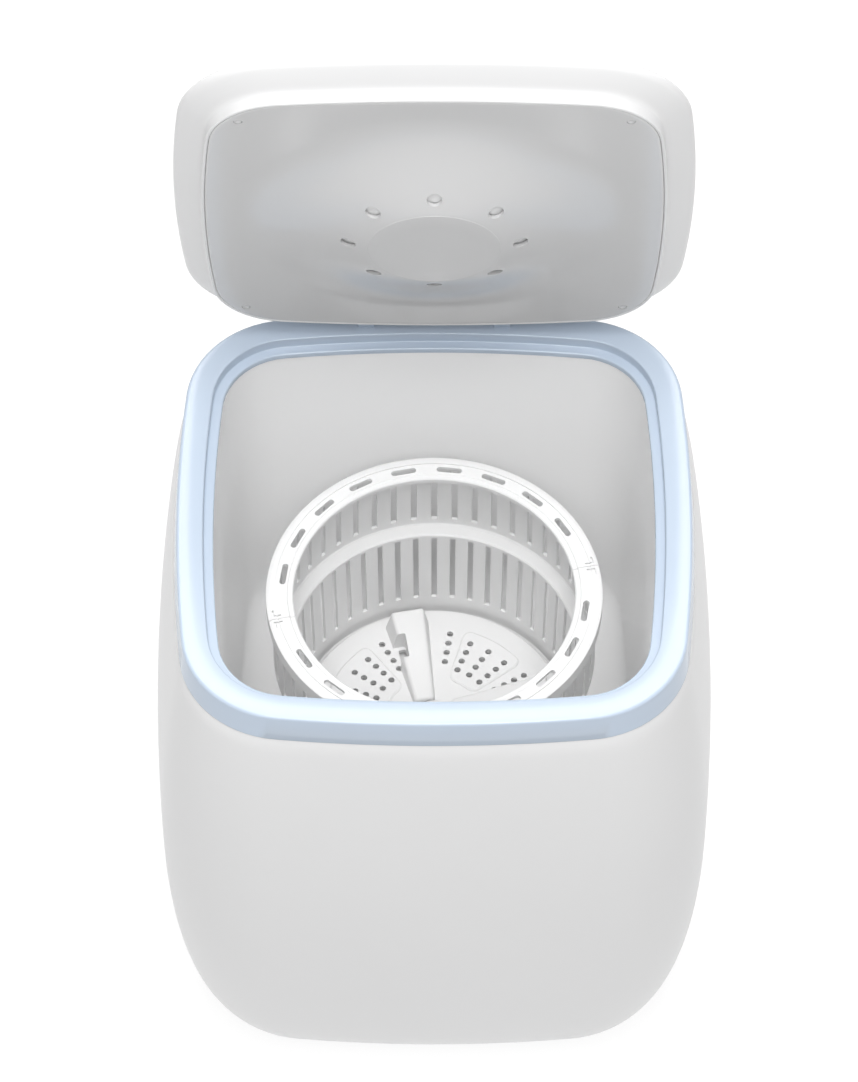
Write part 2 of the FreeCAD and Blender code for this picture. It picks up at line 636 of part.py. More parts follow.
def lid_profile(inset):
    """(half width, level) stations of the lid shell from skirt to crown, offset inward."""
    skirt = BEZEL_HALF - TOP_FACE_WIDTH - LID_SIDE_GAP
    edge_z = LIP_TOP_Z + LID_LIFT
    flare = LID_OVERHANG
    up = LID_FLARE_HEIGHT
    stations = [(skirt + out * flare, edge_z + climb * up) for out, climb in LID_SIDE_ROWS]
    wide, top = stations[-1]
    for degrees in LID_ROUND_STEPS:
        turn = math.radians(degrees)
        stations.append((wide - LID_ROUND_WIDTH * (1 - math.cos(turn)),
                         top + LID_ROUND_HEIGHT * math.sin(turn)))
    if inset <= 0:
        return stations
    moved = []
    for i, (half, z) in enumerate(stations):
        h0, z0 = stations[max(i - 1, 0)]
        h1, z1 = stations[min(i + 1, len(stations) - 1)]
        norm = math.hypot(h1 - h0, z1 - z0)
        moved.append((half - inset * (z1 - z0) / norm, z + inset * (h1 - h0) / norm))
    moved[0] = (stations[0][0] - inset, stations[0][1] - 1)
    return moved


def lid_solid(inset):
    """Filled lid shape at an inward offset: flared side and a shallow dome on top of it."""
    stations = lid_profile(inset)
    wires = [outline(BEZEL_HALF, z, BEZEL_HALF - half) for half, z in stations]
    half, z = stations[-1]
    for share in DOME_SHARES:
        level = z + DOME_RISE * (1 - share ** 3)
        wires.append(outline(BEZEL_HALF * share, level, (BEZEL_HALF - half) * share))
    return Part.makeLoft(wires, True, True)


def make_lid():
    """Lid shell, liner, screws, magnet and hinge pins."""
    outer = lid_solid(0)
    shell = outer.cut(lid_solid(LID_WALL))
    edge_z = LIP_TOP_Z + LID_LIFT
    liner_top = edge_z + LINER_THICKNESS
    cups = []
    pockets = []
    lugs = []
    bores = []
    for side in (-1, 1):
        near = LUG_PLACE + LUG_WIDTH
        x0, x1 = sorted((side * near, side * (near + LUG_WIDTH + 2 * LUG_GAP)))
        cups.append(rod(POCKET_RADIUS + LID_WALL, "x", x0 - LID_WALL, x1 + LID_WALL, HINGE_Y, HINGE_Z))
        pockets.append(rod(POCKET_RADIUS, "x", x0, x1, HINGE_Y, HINGE_Z))
        x0, x1 = sorted((side * LUG_PLACE, side * near))
        lugs.append(rod(LUG_RADIUS, "x", x0, x1, HINGE_Y, HINGE_Z))
        lugs.append(box(x0, x1, HINGE_Y - LUG_RADIUS, HINGE_Y + LUG_RADIUS, HINGE_Z, HINGE_Z + 8))
        bores.append(rod(PIN_RADIUS + RUNNING_FIT, "x", x0 - 3, x1 + 3, HINGE_Y, HINGE_Z))
    guard = box(-90, 90, HINGE_Y - 60, HINGE_Y + 60, liner_top + 0.3, RIM_Z + 60)
    cups = [cup.common(outer).common(guard) for cup in cups]
    posts = []
    pilots = []
    points = [(sx * LID_SCREW_X, sy * LID_SCREW_Y) for sx in (-1, 1) for sy in (-1, 1)]
    for x, y in points:
        posts.append(disc(BOSS_RADIUS, liner_top, RIM_Z + 60, x, y).common(outer))
        pilots.append(disc(SCREW_HOLE, liner_top - 1, liner_top + 10, x, y))
    shell = shell.fuse(cups + posts + lugs).cut(pockets + pilots + bores)
    parts["lid_shell"] = shell.removeSplitter()

    skirt_inset = TOP_FACE_WIDTH + LID_SIDE_GAP
    plate = slab(BEZEL_HALF, skirt_inset + LID_WALL + LINER_GAP, edge_z, liner_top)
    plate = plate.cut(disc(BELL_OUTER_RADIUS, edge_z - 1, liner_top + 1))
    flat_z = edge_z - BELL_DEPTH
    run = BELL_OUTER_RADIUS - BELL_FLAT_RADIUS
    slopes = []
    for base in (flat_z, flat_z + LINER_THICKNESS):
        line = []
        for step in range(BELL_STEPS + 1):
            t = step / BELL_STEPS
            climb = t * t * (3 - 2 * t) + BELL_LEAN * t * (1 - t) ** 2
            line.append(V(BELL_FLAT_RADIUS + run * t, 0, base + BELL_DEPTH * climb))
        slope = Part.BSplineCurve()
        slope.interpolate(line)
        slopes.append(slope.toShape())
    corners = [V(0, 0, flat_z), V(BELL_FLAT_RADIUS, 0, flat_z)]
    inner = V(BELL_FLAT_RADIUS, 0, flat_z + LINER_THICKNESS)
    profile = Part.Wire([
        Part.makeLine(corners[0], corners[1]), slopes[0],
        Part.makeLine(V(BELL_OUTER_RADIUS, 0, edge_z), V(BELL_OUTER_RADIUS, 0, liner_top)), slopes[1],
        Part.makeLine(inner, V(0, 0, flat_z + LINER_THICKNESS)),
        Part.makeLine(V(0, 0, flat_z + LINER_THICKNESS), corners[0])])
    bell = Part.Face(profile).revolve(V(0, 0, 0), UP, 360)
    liner = plate.fuse(bell)
    vents = []
    for i in range(VENT_COUNT):
        x, y = clock(VENT_CIRCLE, 360.0 * i / VENT_COUNT)
        vents.append(disc(VENT_RADIUS, flat_z - 1, liner_top, x, y))
    vents += [disc(SCREW_HEAD_RADIUS + 0.6, edge_z - 1, edge_z + 1.3, x, y) for x, y in points]
    vents += [disc(SCREW_HOLE, edge_z - 1, liner_top + 1, x, y) for x, y in points]
    parts["lid_liner"] = liner.cut(vents).removeSplitter()
    parts["lid_screws"] = Part.makeCompound([screw(x, y, edge_z + 1.3, 9) for x, y in points])
    magnet_y = -(BEZEL_HALF * DEPTH_RATIO - skirt_inset - LID_WALL - MAGNET_RADIUS - 4)
    parts["lid_magnet"] = disc(MAGNET_RADIUS, liner_top, liner_top + MAGNET_HEIGHT, SENSOR_X, magnet_y)
    for name in ("lid_shell", "lid_liner", "lid_screws", "lid_magnet"):
        parts[name].rotate(V(0, HINGE_Y, HINGE_Z), V(1, 0, 0), -LID_OPEN_ANGLE)

    pins = []
    for side in (-1, 1):
        ends = sorted((side * (LUG_PLACE - 1), side * (LUG_PLACE + 2 * LUG_WIDTH + LUG_GAP)))
        pins.append(rod(PIN_RADIUS, "x", ends[0], ends[1], HINGE_Y, HINGE_Z))
    parts["hinge_pins"] = Part.makeCompound(pins)
    sensor_z = RIM_Z - BEZEL_TOP_THICKNESS
    sensor_y = -(BEZEL_HALF * DEPTH_RATIO - (BEZEL_WALL + TOP_FACE_WIDTH - BEZEL_WALL) / 2 - 2)
    parts["reed_switch"] = box(SENSOR_X - SENSOR_LENGTH / 2, SENSOR_X + SENSOR_LENGTH / 2,
                               sensor_y - SENSOR_SIZE / 2, sensor_y + SENSOR_SIZE / 2,
                               sensor_z - SENSOR_SIZE, sensor_z)


def make_basket():
    """Slotted two-tier basket, its top ring in two halves, hollow shaft and clutch drum."""
    ledge_z = LEDGE_Z
    under_ring = RING_Z - RING_TOP
    w = BASKET_WALL
    basket = spun([
        (0, HUB_TOP_Z), (FLOOR_RADIUS + w, HUB_TOP_Z), (LOWER_RADIUS + w, ledge_z - w),
        (UPPER_RADIUS + w, ledge_z - w), (UPPER_RADIUS + w, under_ring), (UPPER_RADIUS, under_ring),
        (UPPER_RADIUS, ledge_z), (LOWER_RADIUS, ledge_z),
        (FLOOR_RADIUS, BASKET_FLOOR_Z), (0, BASKET_FLOOR_Z)])
    upper = box(-SLOT_WIDTH / 2, SLOT_WIDTH / 2, UPPER_RADIUS - 4, UPPER_RADIUS + 8,
                ledge_z + UPPER_SLOT_MARGIN, under_ring - 5)
    lower = box(-SLOT_WIDTH / 2, SLOT_WIDTH / 2, FLOOR_RADIUS - 6, LOWER_RADIUS + w + 1,
                PULSATOR_Z + LOWER_SLOT_MARGIN, ledge_z - w - 1.5)
    cutters = around(upper, SLOT_COUNT) + around(lower, SLOT_COUNT)
    drain = box(-3, 3, 48, 84, HUB_TOP_Z - 1, BASKET_FLOOR_Z + 1)
    cutters += around(drain, DRAIN_SLOT_COUNT)
    cutters.append(disc(TUBE_RADIUS, HUB_TOP_Z - 1, BASKET_FLOOR_Z + 1))
    screw_circle = (TUBE_RADIUS + TUBE_FLANGE_RADIUS) / 2 + 2
    screw_at = [clock(screw_circle, 45 + 90 * i) for i in range(4)]
    cutters += [disc(SCREW_HOLE, HUB_TOP_Z - 1, BASKET_FLOOR_Z + 1, x, y) for x, y in screw_at]
    parts["spin_basket"] = basket.cut(cutters)
    parts["basket_screws"] = Part.makeCompound(
        [screw(x, y, BASKET_FLOOR_Z, BASKET_FLOOR + TUBE_FLANGE - 1, True) for x, y in screw_at])

    band = 0.9
    ring = spun([
        (RING_INNER, RING_Z - 5), (RING_INNER + 1.8, RING_Z - 5), (RING_INNER + 1.8, under_ring),
        (UPPER_RADIUS + w + SEAT_GAP + 1.4, under_ring), (RING_OUTER - 2, under_ring),
        (RING_OUTER - 2, RING_Z - RING_SKIRT), (RING_OUTER, RING_Z - RING_SKIRT), (RING_OUTER, RING_Z - 1.4),
        (RING_OUTER - 2.2, RING_Z), (RING_OUTER - 5.6, RING_Z), (RING_OUTER - 5.6, RING_Z - band),
        (RING_OUTER - 6.6, RING_Z - band), (RING_OUTER - 6.6, RING_Z), (RING_INNER + 4.2, RING_Z),
        (RING_INNER + 3.4, RING_Z - band), (RING_INNER + 0.8, RING_Z - band),
        (RING_INNER, RING_Z - band - 0.8)])
    slot = box(-(RING_SLOT_LENGTH - RING_SLOT_WIDTH) / 2, (RING_SLOT_LENGTH - RING_SLOT_WIDTH) / 2,
               RING_SLOT_CIRCLE - RING_SLOT_WIDTH / 2, RING_SLOT_CIRCLE + RING_SLOT_WIDTH / 2,
               under_ring - 1, RING_Z + 1)
    for end in (-1, 1):
        slot = slot.fuse(disc(RING_SLOT_WIDTH / 2, under_ring - 1, RING_Z + 1,
                              end * (RING_SLOT_LENGTH - RING_SLOT_WIDTH) / 2, RING_SLOT_CIRCLE))
    slot = slot.removeSplitter()
    for name, middle in (("basket_ring_back", RING_TURN), ("basket_ring_front", RING_TURN + 180)):
        half = turned(box(-200, 200, RING_SEAM / 2, 200, 0, RIM_Z), middle)
        piece = ring.common(half)
        first = -(RING_SLOT_COUNT - 1) / 2
        cuts = [turned(slot, middle + (first + i) * RING_SLOT_PITCH) for i in range(RING_SLOT_COUNT)]
        parts[name] = piece.cut(cuts)

    shaft = disc(TUBE_FLANGE_RADIUS, HUB_TOP_Z - TUBE_FLANGE, HUB_TOP_Z)
    shaft = shaft.fuse(disc(TUBE_RADIUS, TUBE_END, HUB_TOP_Z))
    shaft = shaft.cut(disc(TUBE_BORE, TUBE_END - 1, HUB_TOP_Z + 1))
    pilots = [disc(SCREW_HOLE, HUB_TOP_Z - TUBE_FLANGE - 1, HUB_TOP_Z + 1, x, y) for x, y in screw_at]
    shaft = shaft.cut(pilots)
    parts["spin_tube"] = shaft.removeSplitter()
    bush_out = TUBE_BORE - SEATING_FIT
    bush_in = SHAFT_RADIUS + RUNNING_FIT
    top_bush = tube(bush_out, bush_in, HUB_TOP_Z - BUSH_LENGTH, HUB_TOP_Z)
    low_bush = tube(bush_out, bush_in, TUBE_END, TUBE_END + BUSH_LENGTH)
    parts["shaft_bushes"] = Part.makeCompound([top_bush, low_bush])
    parts["clutch_drum"] = tube(DRUM_RADIUS, TUBE_RADIUS + SEATING_FIT, TUBE_END, TUBE_END + DRUM_HEIGHT)


def make_pulsator():
    """Pulsator disc with ridges and perforated fan panels, its shaft, pulley, nut and screw."""
    z = PULSATOR_Z
    plate = disc(PULSATOR_RADIUS, z - PULSATOR_THICKNESS, z)
    rim_edges = [e for e in plate.Edges if abs(e.BoundBox.ZMin - z) < 0.01 and e.Length > 10]
    plate = plate.makeFillet(1.2, rim_edges)
    panel = disc(PANEL_OUTER, z - 0.5, z + PANEL_RISE).cut(disc(PANEL_INNER, z - 1, z + PANEL_RISE + 1))
    reach = 2 * PANEL_OUTER
    wedge_points = [V(0, 0, z - 2)]
    for angle in (-PANEL_SPREAD, 0, PANEL_SPREAD):
        x, y = clock(reach, angle)
        wedge_points.append(V(x, y, z - 2))
    wedge = Part.Face(Part.makePolygon(wedge_points + wedge_points[:1])).extrude(V(0, 0, 10))
    panel = panel.common(wedge)
    corner_edges = [e for e in panel.Edges if abs(e.Length - PANEL_RISE - 0.5) < 0.01]
    panel = panel.makeFillet(6.0, corner_edges)
    sectors = []
    holes = []
    ridges = []
    windows = []
    for quarter in range(4):
        middle = PULSATOR_TURN + 45 + 90 * quarter
        sectors.append(turned(panel, middle))
        rows = [(i * ROW_PITCH, PANEL_HOLE_START) for i in (-1, 0, 1)]
        rows += [(-FLANK_ROW, FLANK_HOLE_START), (FLANK_ROW, FLANK_HOLE_START)]
        for offset, start in rows:
            for i in range(4):
                x, y = clock(start + i * HOLE_PITCH, middle + offset)
                holes.append(disc(HOLE_RADIUS, z - PULSATOR_THICKNESS - 1, z + PANEL_RISE + 1, x, y))
        turn = PULSATOR_TURN + 90 * quarter
        rise = TALL_BLADE_RISE if quarter % 2 == 0 else LOW_BLADE_RISE
        ends = []
        sections = ((BLADE_START, BLADE_TOP_INNER, BLADE_RISE_INNER), (BLADE_END, BLADE_TOP_OUTER, rise))
        for y, top, high in sections:
            foot = top / 2 + BLADE_SLOPE * high / TALL_BLADE_RISE
            middle_x = BLADE_OFFSET
            corners = [V(middle_x - foot, y, z - 0.5), V(middle_x + foot, y, z - 0.5),
                       V(middle_x + top / 2, y - high * 0.15, z + high),
                       V(middle_x - top / 2, y - high * 0.15, z + high)]
            ends.append(Part.makePolygon(corners + corners[:1]))
        ridge = Part.makeLoft(ends, True, True)
        long_edges = [e for e in ridge.Edges if e.BoundBox.ZMin > z + 2 and e.Length > 6]
        ridges.append(turned(ridge.makeFillet(1.6, long_edges), turn))
        if quarter % 2 == 0:
            middle_y = (BLADE_START + BLADE_END) / 2 + 6
            window = box(BLADE_OFFSET - 30, BLADE_OFFSET - 4,
                         middle_y - WINDOW_LENGTH / 2, middle_y + WINDOW_LENGTH / 2,
                         z + 2.5, z + 2.5 + WINDOW_HEIGHT)
            windows.append(turned(window, turn))
    hub = disc(HUB_RADIUS, z - PULSATOR_THICKNESS, z + HUB_RISE)
    hub_edges = [e for e in hub.Edges if abs(e.BoundBox.ZMin - z - HUB_RISE) < 0.01]
    hub = hub.makeFillet(1.5, hub_edges)
    body = plate.fuse(sectors + ridges + [hub])
    shaft_top = z + HUB_RISE - 4
    body = body.cut(holes + windows)
    body = body.cut([disc(SHAFT_RADIUS + SEATING_FIT, z - 10, shaft_top), disc(SCREW_HOLE, z, z + 20)])
    parts["pulsator"] = body.removeSplitter()
    parts["pulsator_screw"] = screw(0, 0, z + HUB_RISE, 14, True, 2 * SCREW_HEAD_RADIUS)

    shaft = disc(SHAFT_RADIUS, PULLEY_Z - NUT_HEIGHT - 2, shaft_top)
    parts["wash_shaft"] = shaft.cut(disc(SCREW_HOLE, z + HUB_RISE - 15, shaft_top + 1))
    parts["driven_pulley"] = pulley(PULLEY_RADIUS, SHAFT_RADIUS, 14.0)
    nut = nut_block(NUT_FLATS, PULLEY_Z - NUT_HEIGHT, PULLEY_Z)
    parts["pulley_nut"] = nut.cut(disc(SHAFT_RADIUS + SEATING_FIT, 0, PULLEY_Z + 1))


def nut_block(flats, z0, z1):
    """Hexagon block."""
    reach = flats / math.sqrt(3)
    corners = []
    for i in range(6):
        x, y = clock(reach, 60 * i)
        corners.append(V(x, y, z0))
    return Part.Face(Part.makePolygon(corners + corners[:1])).extrude(V(0, 0, z1 - z0))


def pulley(rim, bore, hub):
    """Grooved pulley on the drum axis."""
    top = PULLEY_Z + PULLEY_HEIGHT
    floor = rim - GROOVE_DEPTH
    low = PULLEY_Z + (PULLEY_HEIGHT - BELT_WIDTH) / 2 - BELT_GAP
    high = low + BELT_WIDTH + 2 * BELT_GAP
    wheel = tube(rim, bore + SEATING_FIT, PULLEY_Z, top)
    wheel = wheel.cut(tube(rim + 1, floor, low, high))
    if floor - 6 > hub + 10:
        web_z = PULLEY_Z + (PULLEY_HEIGHT - PULLEY_WEB) / 2
        wheel = wheel.cut(tube(floor - 5, hub, web_z + PULLEY_WEB, top + 1))
        wheel = wheel.cut(tube(floor - 5, hub, PULLEY_Z - 1, web_z))
        lightening = disc((floor - 5 - hub) / 2 - 6, PULLEY_Z - 1, top + 1, 0, (floor - 5 + hub) / 2)
        wheel = wheel.cut(around(lightening, 5))
    return wheel


def make_drive():
    """Bearings and housing, drive plate, motor, belt and capacitor."""
    flange_z = TUB_UNDER_Z - HOUSING_FLANGE
    low_z = TUB_UNDER_Z - HOUSING_LENGTH
    seat_z = TUB_UNDER_Z - SEAL_SEAT
    fix_circle = (HOUSING_RADIUS + HOUSING_FLANGE_RADIUS) / 2
    fix = [clock(fix_circle, 90 * i) for i in range(POST_COUNT)]
    housing = disc(HOUSING_FLANGE_RADIUS, flange_z, TUB_UNDER_Z)
    housing = housing.fuse(disc(HOUSING_RADIUS, low_z, TUB_UNDER_Z))
    housing = housing.cut([
        disc(SEAL_RADIUS + SEATING_FIT, seat_z, TUB_UNDER_Z + 1),
        disc(BEARING_RADIUS + SEATING_FIT, seat_z - BEARING_WIDTH, seat_z + 1),
        disc(BEARING_RADIUS + SEATING_FIT, low_z - 1, low_z + BEARING_WIDTH),
        disc(BEARING_RADIUS - 4, low_z - 1, TUB_UNDER_Z + 1)])
    housing = housing.cut([disc(SCREW_HOLE, flange_z - 1, TUB_UNDER_Z + 1, x, y) for x, y in fix])
    parts["bearing_housing"] = housing.removeSplitter()
    parts["housing_screws"] = Part.makeCompound([screw(x, y, flange_z, HOUSING_FLANGE + 2.5) for x, y in fix])
    bore = TUBE_RADIUS + RUNNING_FIT
    parts["upper_bearing"] = tube(BEARING_RADIUS, bore, seat_z - BEARING_WIDTH, seat_z)
    parts["lower_bearing"] = tube(BEARING_RADIUS, bore, low_z, low_z + BEARING_WIDTH)
    parts["shaft_seal"] = tube(SEAL_RADIUS, bore, seat_z, TUB_FLOOR_Z + SEAL_PROUD)

    plate_top = PLATE_Z + PLATE_THICKNESS
    posts = [clock(POST_CIRCLE, 45 + 360.0 * i / POST_COUNT) for i in range(POST_COUNT)]
    distance = math.hypot(MOTOR_X, MOTOR_Y)
    bearing = math.degrees(math.atan2(MOTOR_Y, MOTOR_X))
    plate = Part.Face(hull_wire(POST_CIRCLE + 12, MOTOR_EAR_CIRCLE + 9, distance, PLATE_Z))
    plate = plate.extrude(V(0, 0, PLATE_THICKNESS))
    plate.rotate(V(0, 0, 0), UP, bearing)
    ears = [(MOTOR_X + dx, MOTOR_Y + dy) for dx, dy in (clock(MOTOR_EAR_CIRCLE, 90 * i) for i in range(4))]
    cuts = [disc(HOUSING_RADIUS + 1, PLATE_Z - 1, plate_top + 1)]
    cuts += [disc(SCREW_HOLE, PLATE_Z - 1, plate_top + 1, x, y) for x, y in posts + ears]
    parts["drive_plate"] = plate.cut(cuts)
    parts["plate_dampers"] = Part.makeCompound(
        [tube(DAMPER_RADIUS, SCREW_HOLE, plate_top, plate_top + DAMPER_HEIGHT, x, y) for x, y in posts])
    parts["plate_screws"] = Part.makeCompound(
        [screw(x, y, PLATE_Z, PLATE_THICKNESS + DAMPER_HEIGHT + 13) for x, y in posts])

    motor_low = PLATE_Z - MOTOR_HEIGHT
    can = disc(MOTOR_RADIUS, motor_low, PLATE_Z, MOTOR_X, MOTOR_Y)
    can_edges = [e for e in can.Edges if abs(e.BoundBox.ZMax - motor_low) < 0.01]
    can = can.makeFillet(4.0, can_edges)
    can = can.fuse([disc(MOTOR_EAR_RADIUS + 1, PLATE_Z - 12, PLATE_Z, x, y) for x, y in ears])
    can = can.cut([disc(SCREW_HOLE, PLATE_Z - 11, PLATE_Z + 1, x, y) for x, y in ears])
    slots = []
    for i in range(12):
        dx, dy = clock(MOTOR_RADIUS - 8, 30 * i)
        slots.append(disc(3.0, motor_low - 1, motor_low + 8, MOTOR_X + dx, MOTOR_Y + dy))
    can = can.cut(slots)
    can = can.cut(disc(MOTOR_SHAFT_RADIUS + RUNNING_FIT, motor_low - 1, PLATE_Z - 8, MOTOR_X, MOTOR_Y))
    parts["motor_body"] = can.removeSplitter()
    parts["motor_screws"] = Part.makeCompound(
        [screw(x, y, plate_top, PLATE_THICKNESS + 10, True) for x, y in ears])
    parts["motor_shaft"] = disc(MOTOR_SHAFT_RADIUS, PULLEY_Z - 4, PLATE_Z - 9, MOTOR_X, MOTOR_Y)
    big = PULLEY_RADIUS - GROOVE_DEPTH + BELT_GAP
    small = big / PULLEY_RATIO
    wheel = pulley(small - BELT_GAP + GROOVE_DEPTH, MOTOR_SHAFT_RADIUS, MOTOR_SHAFT_RADIUS + 4)
    wheel.translate(V(MOTOR_X, MOTOR_Y, 0))
    parts["motor_pulley"] = wheel
    belt_z = PULLEY_Z + (PULLEY_HEIGHT - BELT_WIDTH) / 2
    belt = Part.Face(hull_wire(big + BELT_THICKNESS, small + BELT_THICKNESS, distance, belt_z))
    belt = belt.extrude(V(0, 0, BELT_WIDTH))
    belt = belt.cut(Part.Face(hull_wire(big, small, distance, belt_z - 1)).extrude(V(0, 0, BELT_WIDTH + 2)))
    belt.rotate(V(0, 0, 0), UP, bearing)
    parts["drive_belt"] = belt
    can = disc(CAPACITOR_RADIUS, CASE_Z, CASE_Z + CAPACITOR_HEIGHT, CAPACITOR_X, CAPACITOR_Y)
    top_edges = [e for e in can.Edges if abs(e.BoundBox.ZMin - CASE_Z - CAPACITOR_HEIGHT) < 0.01]
    can = can.makeFillet(2.0, top_edges)
    tabs = [box(CAPACITOR_X + dx - 3, CAPACITOR_X + dx + 3, CAPACITOR_Y - 0.5, CAPACITOR_Y + 0.5,
                CASE_Z + CAPACITOR_HEIGHT - 1, CASE_Z + CAPACITOR_HEIGHT + 8) for dx in (-6, 6)]
    parts["run_capacitor"] = can.fuse(tabs)


def make_drain():
    """Drain pump with its outlet spigot, impeller, motor, mount and the hose from the tub."""
    x, y = PUMP_X, PUMP_Y
    top = PUMP_Z + PUMP_HEIGHT
    bay_z = BAY_Z
    inlet_top = top + SPOUT_LENGTH
    shell = disc(PUMP_RADIUS, PUMP_Z, top, x, y)
    shell = shell.fuse(disc(HOSE_RADIUS, top - 1, inlet_top, x, y))
    shell = shell.fuse(rod(OUTLET_RADIUS, "y", y, BAY_FLOOR_Y, x, bay_z))
    shell = shell.cut([
        disc(PUMP_RADIUS - PUMP_WALL, PUMP_Z + PUMP_WALL, top - PUMP_WALL, x, y),
        disc(HOSE_RADIUS - 3, top - PUMP_WALL - 1, inlet_top + 1, x, y),
        disc(IMPELLER_SHAFT + RUNNING_FIT, PUMP_Z - 1, PUMP_Z + PUMP_WALL + 1, x, y),
        rod(SPIGOT_PLUG + SEATING_FIT, "y", y + PUMP_RADIUS - PUMP_WALL - 6, BAY_FLOOR_Y + 1, x, bay_z)])
    parts["pump_housing"] = shell.removeSplitter()
    face_y = BAY_FLOOR_Y + BAY_WALL
    spigot = rod(SPIGOT_FLANGE_RADIUS, "y", face_y, face_y + SPIGOT_FLANGE, x, bay_z)
    spigot = spigot.fuse(rod(SPIGOT_RADIUS, "y", face_y, face_y + SPIGOT_FLANGE + SPIGOT_REACH, x, bay_z))
    spigot = spigot.fuse(rod(SPIGOT_PLUG, "y", BAY_FLOOR_Y - PLUG_DEPTH, face_y + 1, x, bay_z))
    spigot = spigot.cut(rod(SPIGOT_BORE, "y", 0, face_y + 100, x, bay_z))
    parts["drain_spigot"] = spigot.removeSplitter()
    mount_top = CASE_Z + PUMP_MOUNT_HEIGHT
    block = disc(PUMP_MOTOR_RADIUS, mount_top, PUMP_Z, x, y)
    block = block.cut(disc(IMPELLER_SHAFT + RUNNING_FIT, PUMP_Z - 15, PUMP_Z + 1, x, y))
    parts["pump_motor"] = block
    parts["pump_mount"] = disc(PUMP_MOUNT_RADIUS, CASE_Z, mount_top, x, y)
    wheel = disc(IMPELLER_RADIUS, PUMP_Z + PUMP_WALL + 2, PUMP_Z + PUMP_WALL + 4, x, y)
    vane = box(-1, 1, 4, IMPELLER_RADIUS - 1, PUMP_Z + PUMP_WALL + 3, top - PUMP_WALL - 4)
    for piece in around(vane, 6):
        piece.translate(V(x, y, 0))
        wheel = wheel.fuse(piece)
    wheel = wheel.fuse(disc(6.0, PUMP_Z + PUMP_WALL + 2, top - PUMP_WALL - 4, x, y))
    wheel = wheel.fuse(disc(IMPELLER_SHAFT, PUMP_Z - 14, PUMP_Z + PUMP_WALL + 5, x, y))
    parts["pump_impeller"] = wheel.removeSplitter()
    parts["sump_hose"] = tube(HOSE_RADIUS + HOSE_WALL, HOSE_RADIUS + SEATING_FIT, inlet_top - HOSE_OVERLAP,
                              TUB_UNDER_Z - SPOUT_LENGTH + HOSE_OVERLAP, x, y)


make_cabinet()
make_lid()
make_basket()
make_pulsator()
make_drive()
make_drain()

os.makedirs("parts", exist_ok=True)
for node, shape in parts.items():
    shape.exportStep("parts/" + node + ".step")
    print(node, len(shape.Solids), shape.isValid(), round(shape.Volume / 1000, 1))
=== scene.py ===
"""Dresses the compact washing machine: gloss casing, pale bezel, open lid, slotted basket and pulsator."""
import json
import logging
import math
from dataclasses import dataclass
from enum import Enum
from typing import Callable, Iterable, Optional, Sequence

import bmesh
import bpy
from mathutils import Matrix, Vector


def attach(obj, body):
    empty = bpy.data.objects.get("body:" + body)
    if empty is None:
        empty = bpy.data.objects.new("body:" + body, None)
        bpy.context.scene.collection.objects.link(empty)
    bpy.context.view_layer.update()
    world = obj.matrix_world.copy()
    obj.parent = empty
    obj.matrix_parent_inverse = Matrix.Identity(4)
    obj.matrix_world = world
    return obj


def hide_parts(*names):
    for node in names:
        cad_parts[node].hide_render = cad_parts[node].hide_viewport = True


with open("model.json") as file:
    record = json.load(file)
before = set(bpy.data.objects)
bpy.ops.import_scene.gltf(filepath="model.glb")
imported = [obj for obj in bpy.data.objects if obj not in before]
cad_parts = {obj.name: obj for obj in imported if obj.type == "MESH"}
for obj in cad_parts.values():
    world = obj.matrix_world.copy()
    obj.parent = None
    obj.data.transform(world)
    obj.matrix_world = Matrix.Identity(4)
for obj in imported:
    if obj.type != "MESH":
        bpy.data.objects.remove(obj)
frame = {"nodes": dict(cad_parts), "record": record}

LOG = logging.getLogger("washer")
MM = 0.001
CORNERS = tuple((sx, sy) for sx in (-1, 1) for sy in (-1, 1))
COAT_ROUGHNESS = 0.06
LEAST_ROUGHNESS = 0.02
CLOUD_SCALE = 7.0
SKIN_SEGMENTS = 192
TINT_RANGE = (0.30, 0.72)
Level = tuple[float, float]
Color = tuple[float, float, float]
Mesh = bmesh.types.BMesh


class Grain(Enum):
    """How the surface of a finish is worked."""

    GLOSS = "gloss moulding"
    SATIN = "satin moulding"
    MATT = "spark-eroded moulding"
    RUBBER = "moulded rubber"
    CAST = "die casting"
    BRUSHED = "drawn metal"


class Body(Enum):
    """The moving bodies that pieces ride on."""

    CABINET = "cabinet"
    LID = "lid"
    BASKET = "basket"
    PULSATOR = "pulsator"


@dataclass(frozen=True)
class Grit:
    """Texture of one kind of surface: how fine, how deep and how uneven it is."""

    scale: float
    depth: float
    strength: float
    stretch: float = 1.0
    uneven: float = 0.05


GRITS: dict[Grain, Grit] = {
    Grain.GLOSS: Grit(150.0, 0.00012, 0.02, uneven=0.03),
    Grain.SATIN: Grit(420.0, 0.00010, 0.10, uneven=0.07),
    Grain.MATT: Grit(1500.0, 0.00012, 0.35, uneven=0.08),
    Grain.RUBBER: Grit(900.0, 0.00020, 0.35, uneven=0.10),
    Grain.CAST: Grit(700.0, 0.00030, 0.40, uneven=0.12),
    Grain.BRUSHED: Grit(500.0, 0.00006, 0.30, stretch=0.04, uneven=0.14),
}


def add_node(tree: bpy.types.NodeTree, kind: str, **values: object) -> bpy.types.Node:
    """Adds a shader node and sets its sockets.

    Args:
        tree: The node tree.
        kind: Kind of node, without its prefix.
        values: Socket values; an underscore stands for a space.

    Returns:
        The node.
    """
    node = tree.nodes.new("ShaderNode" + kind)
    for name, value in values.items():
        node.inputs[name.replace("_", " ")].default_value = value
    return node


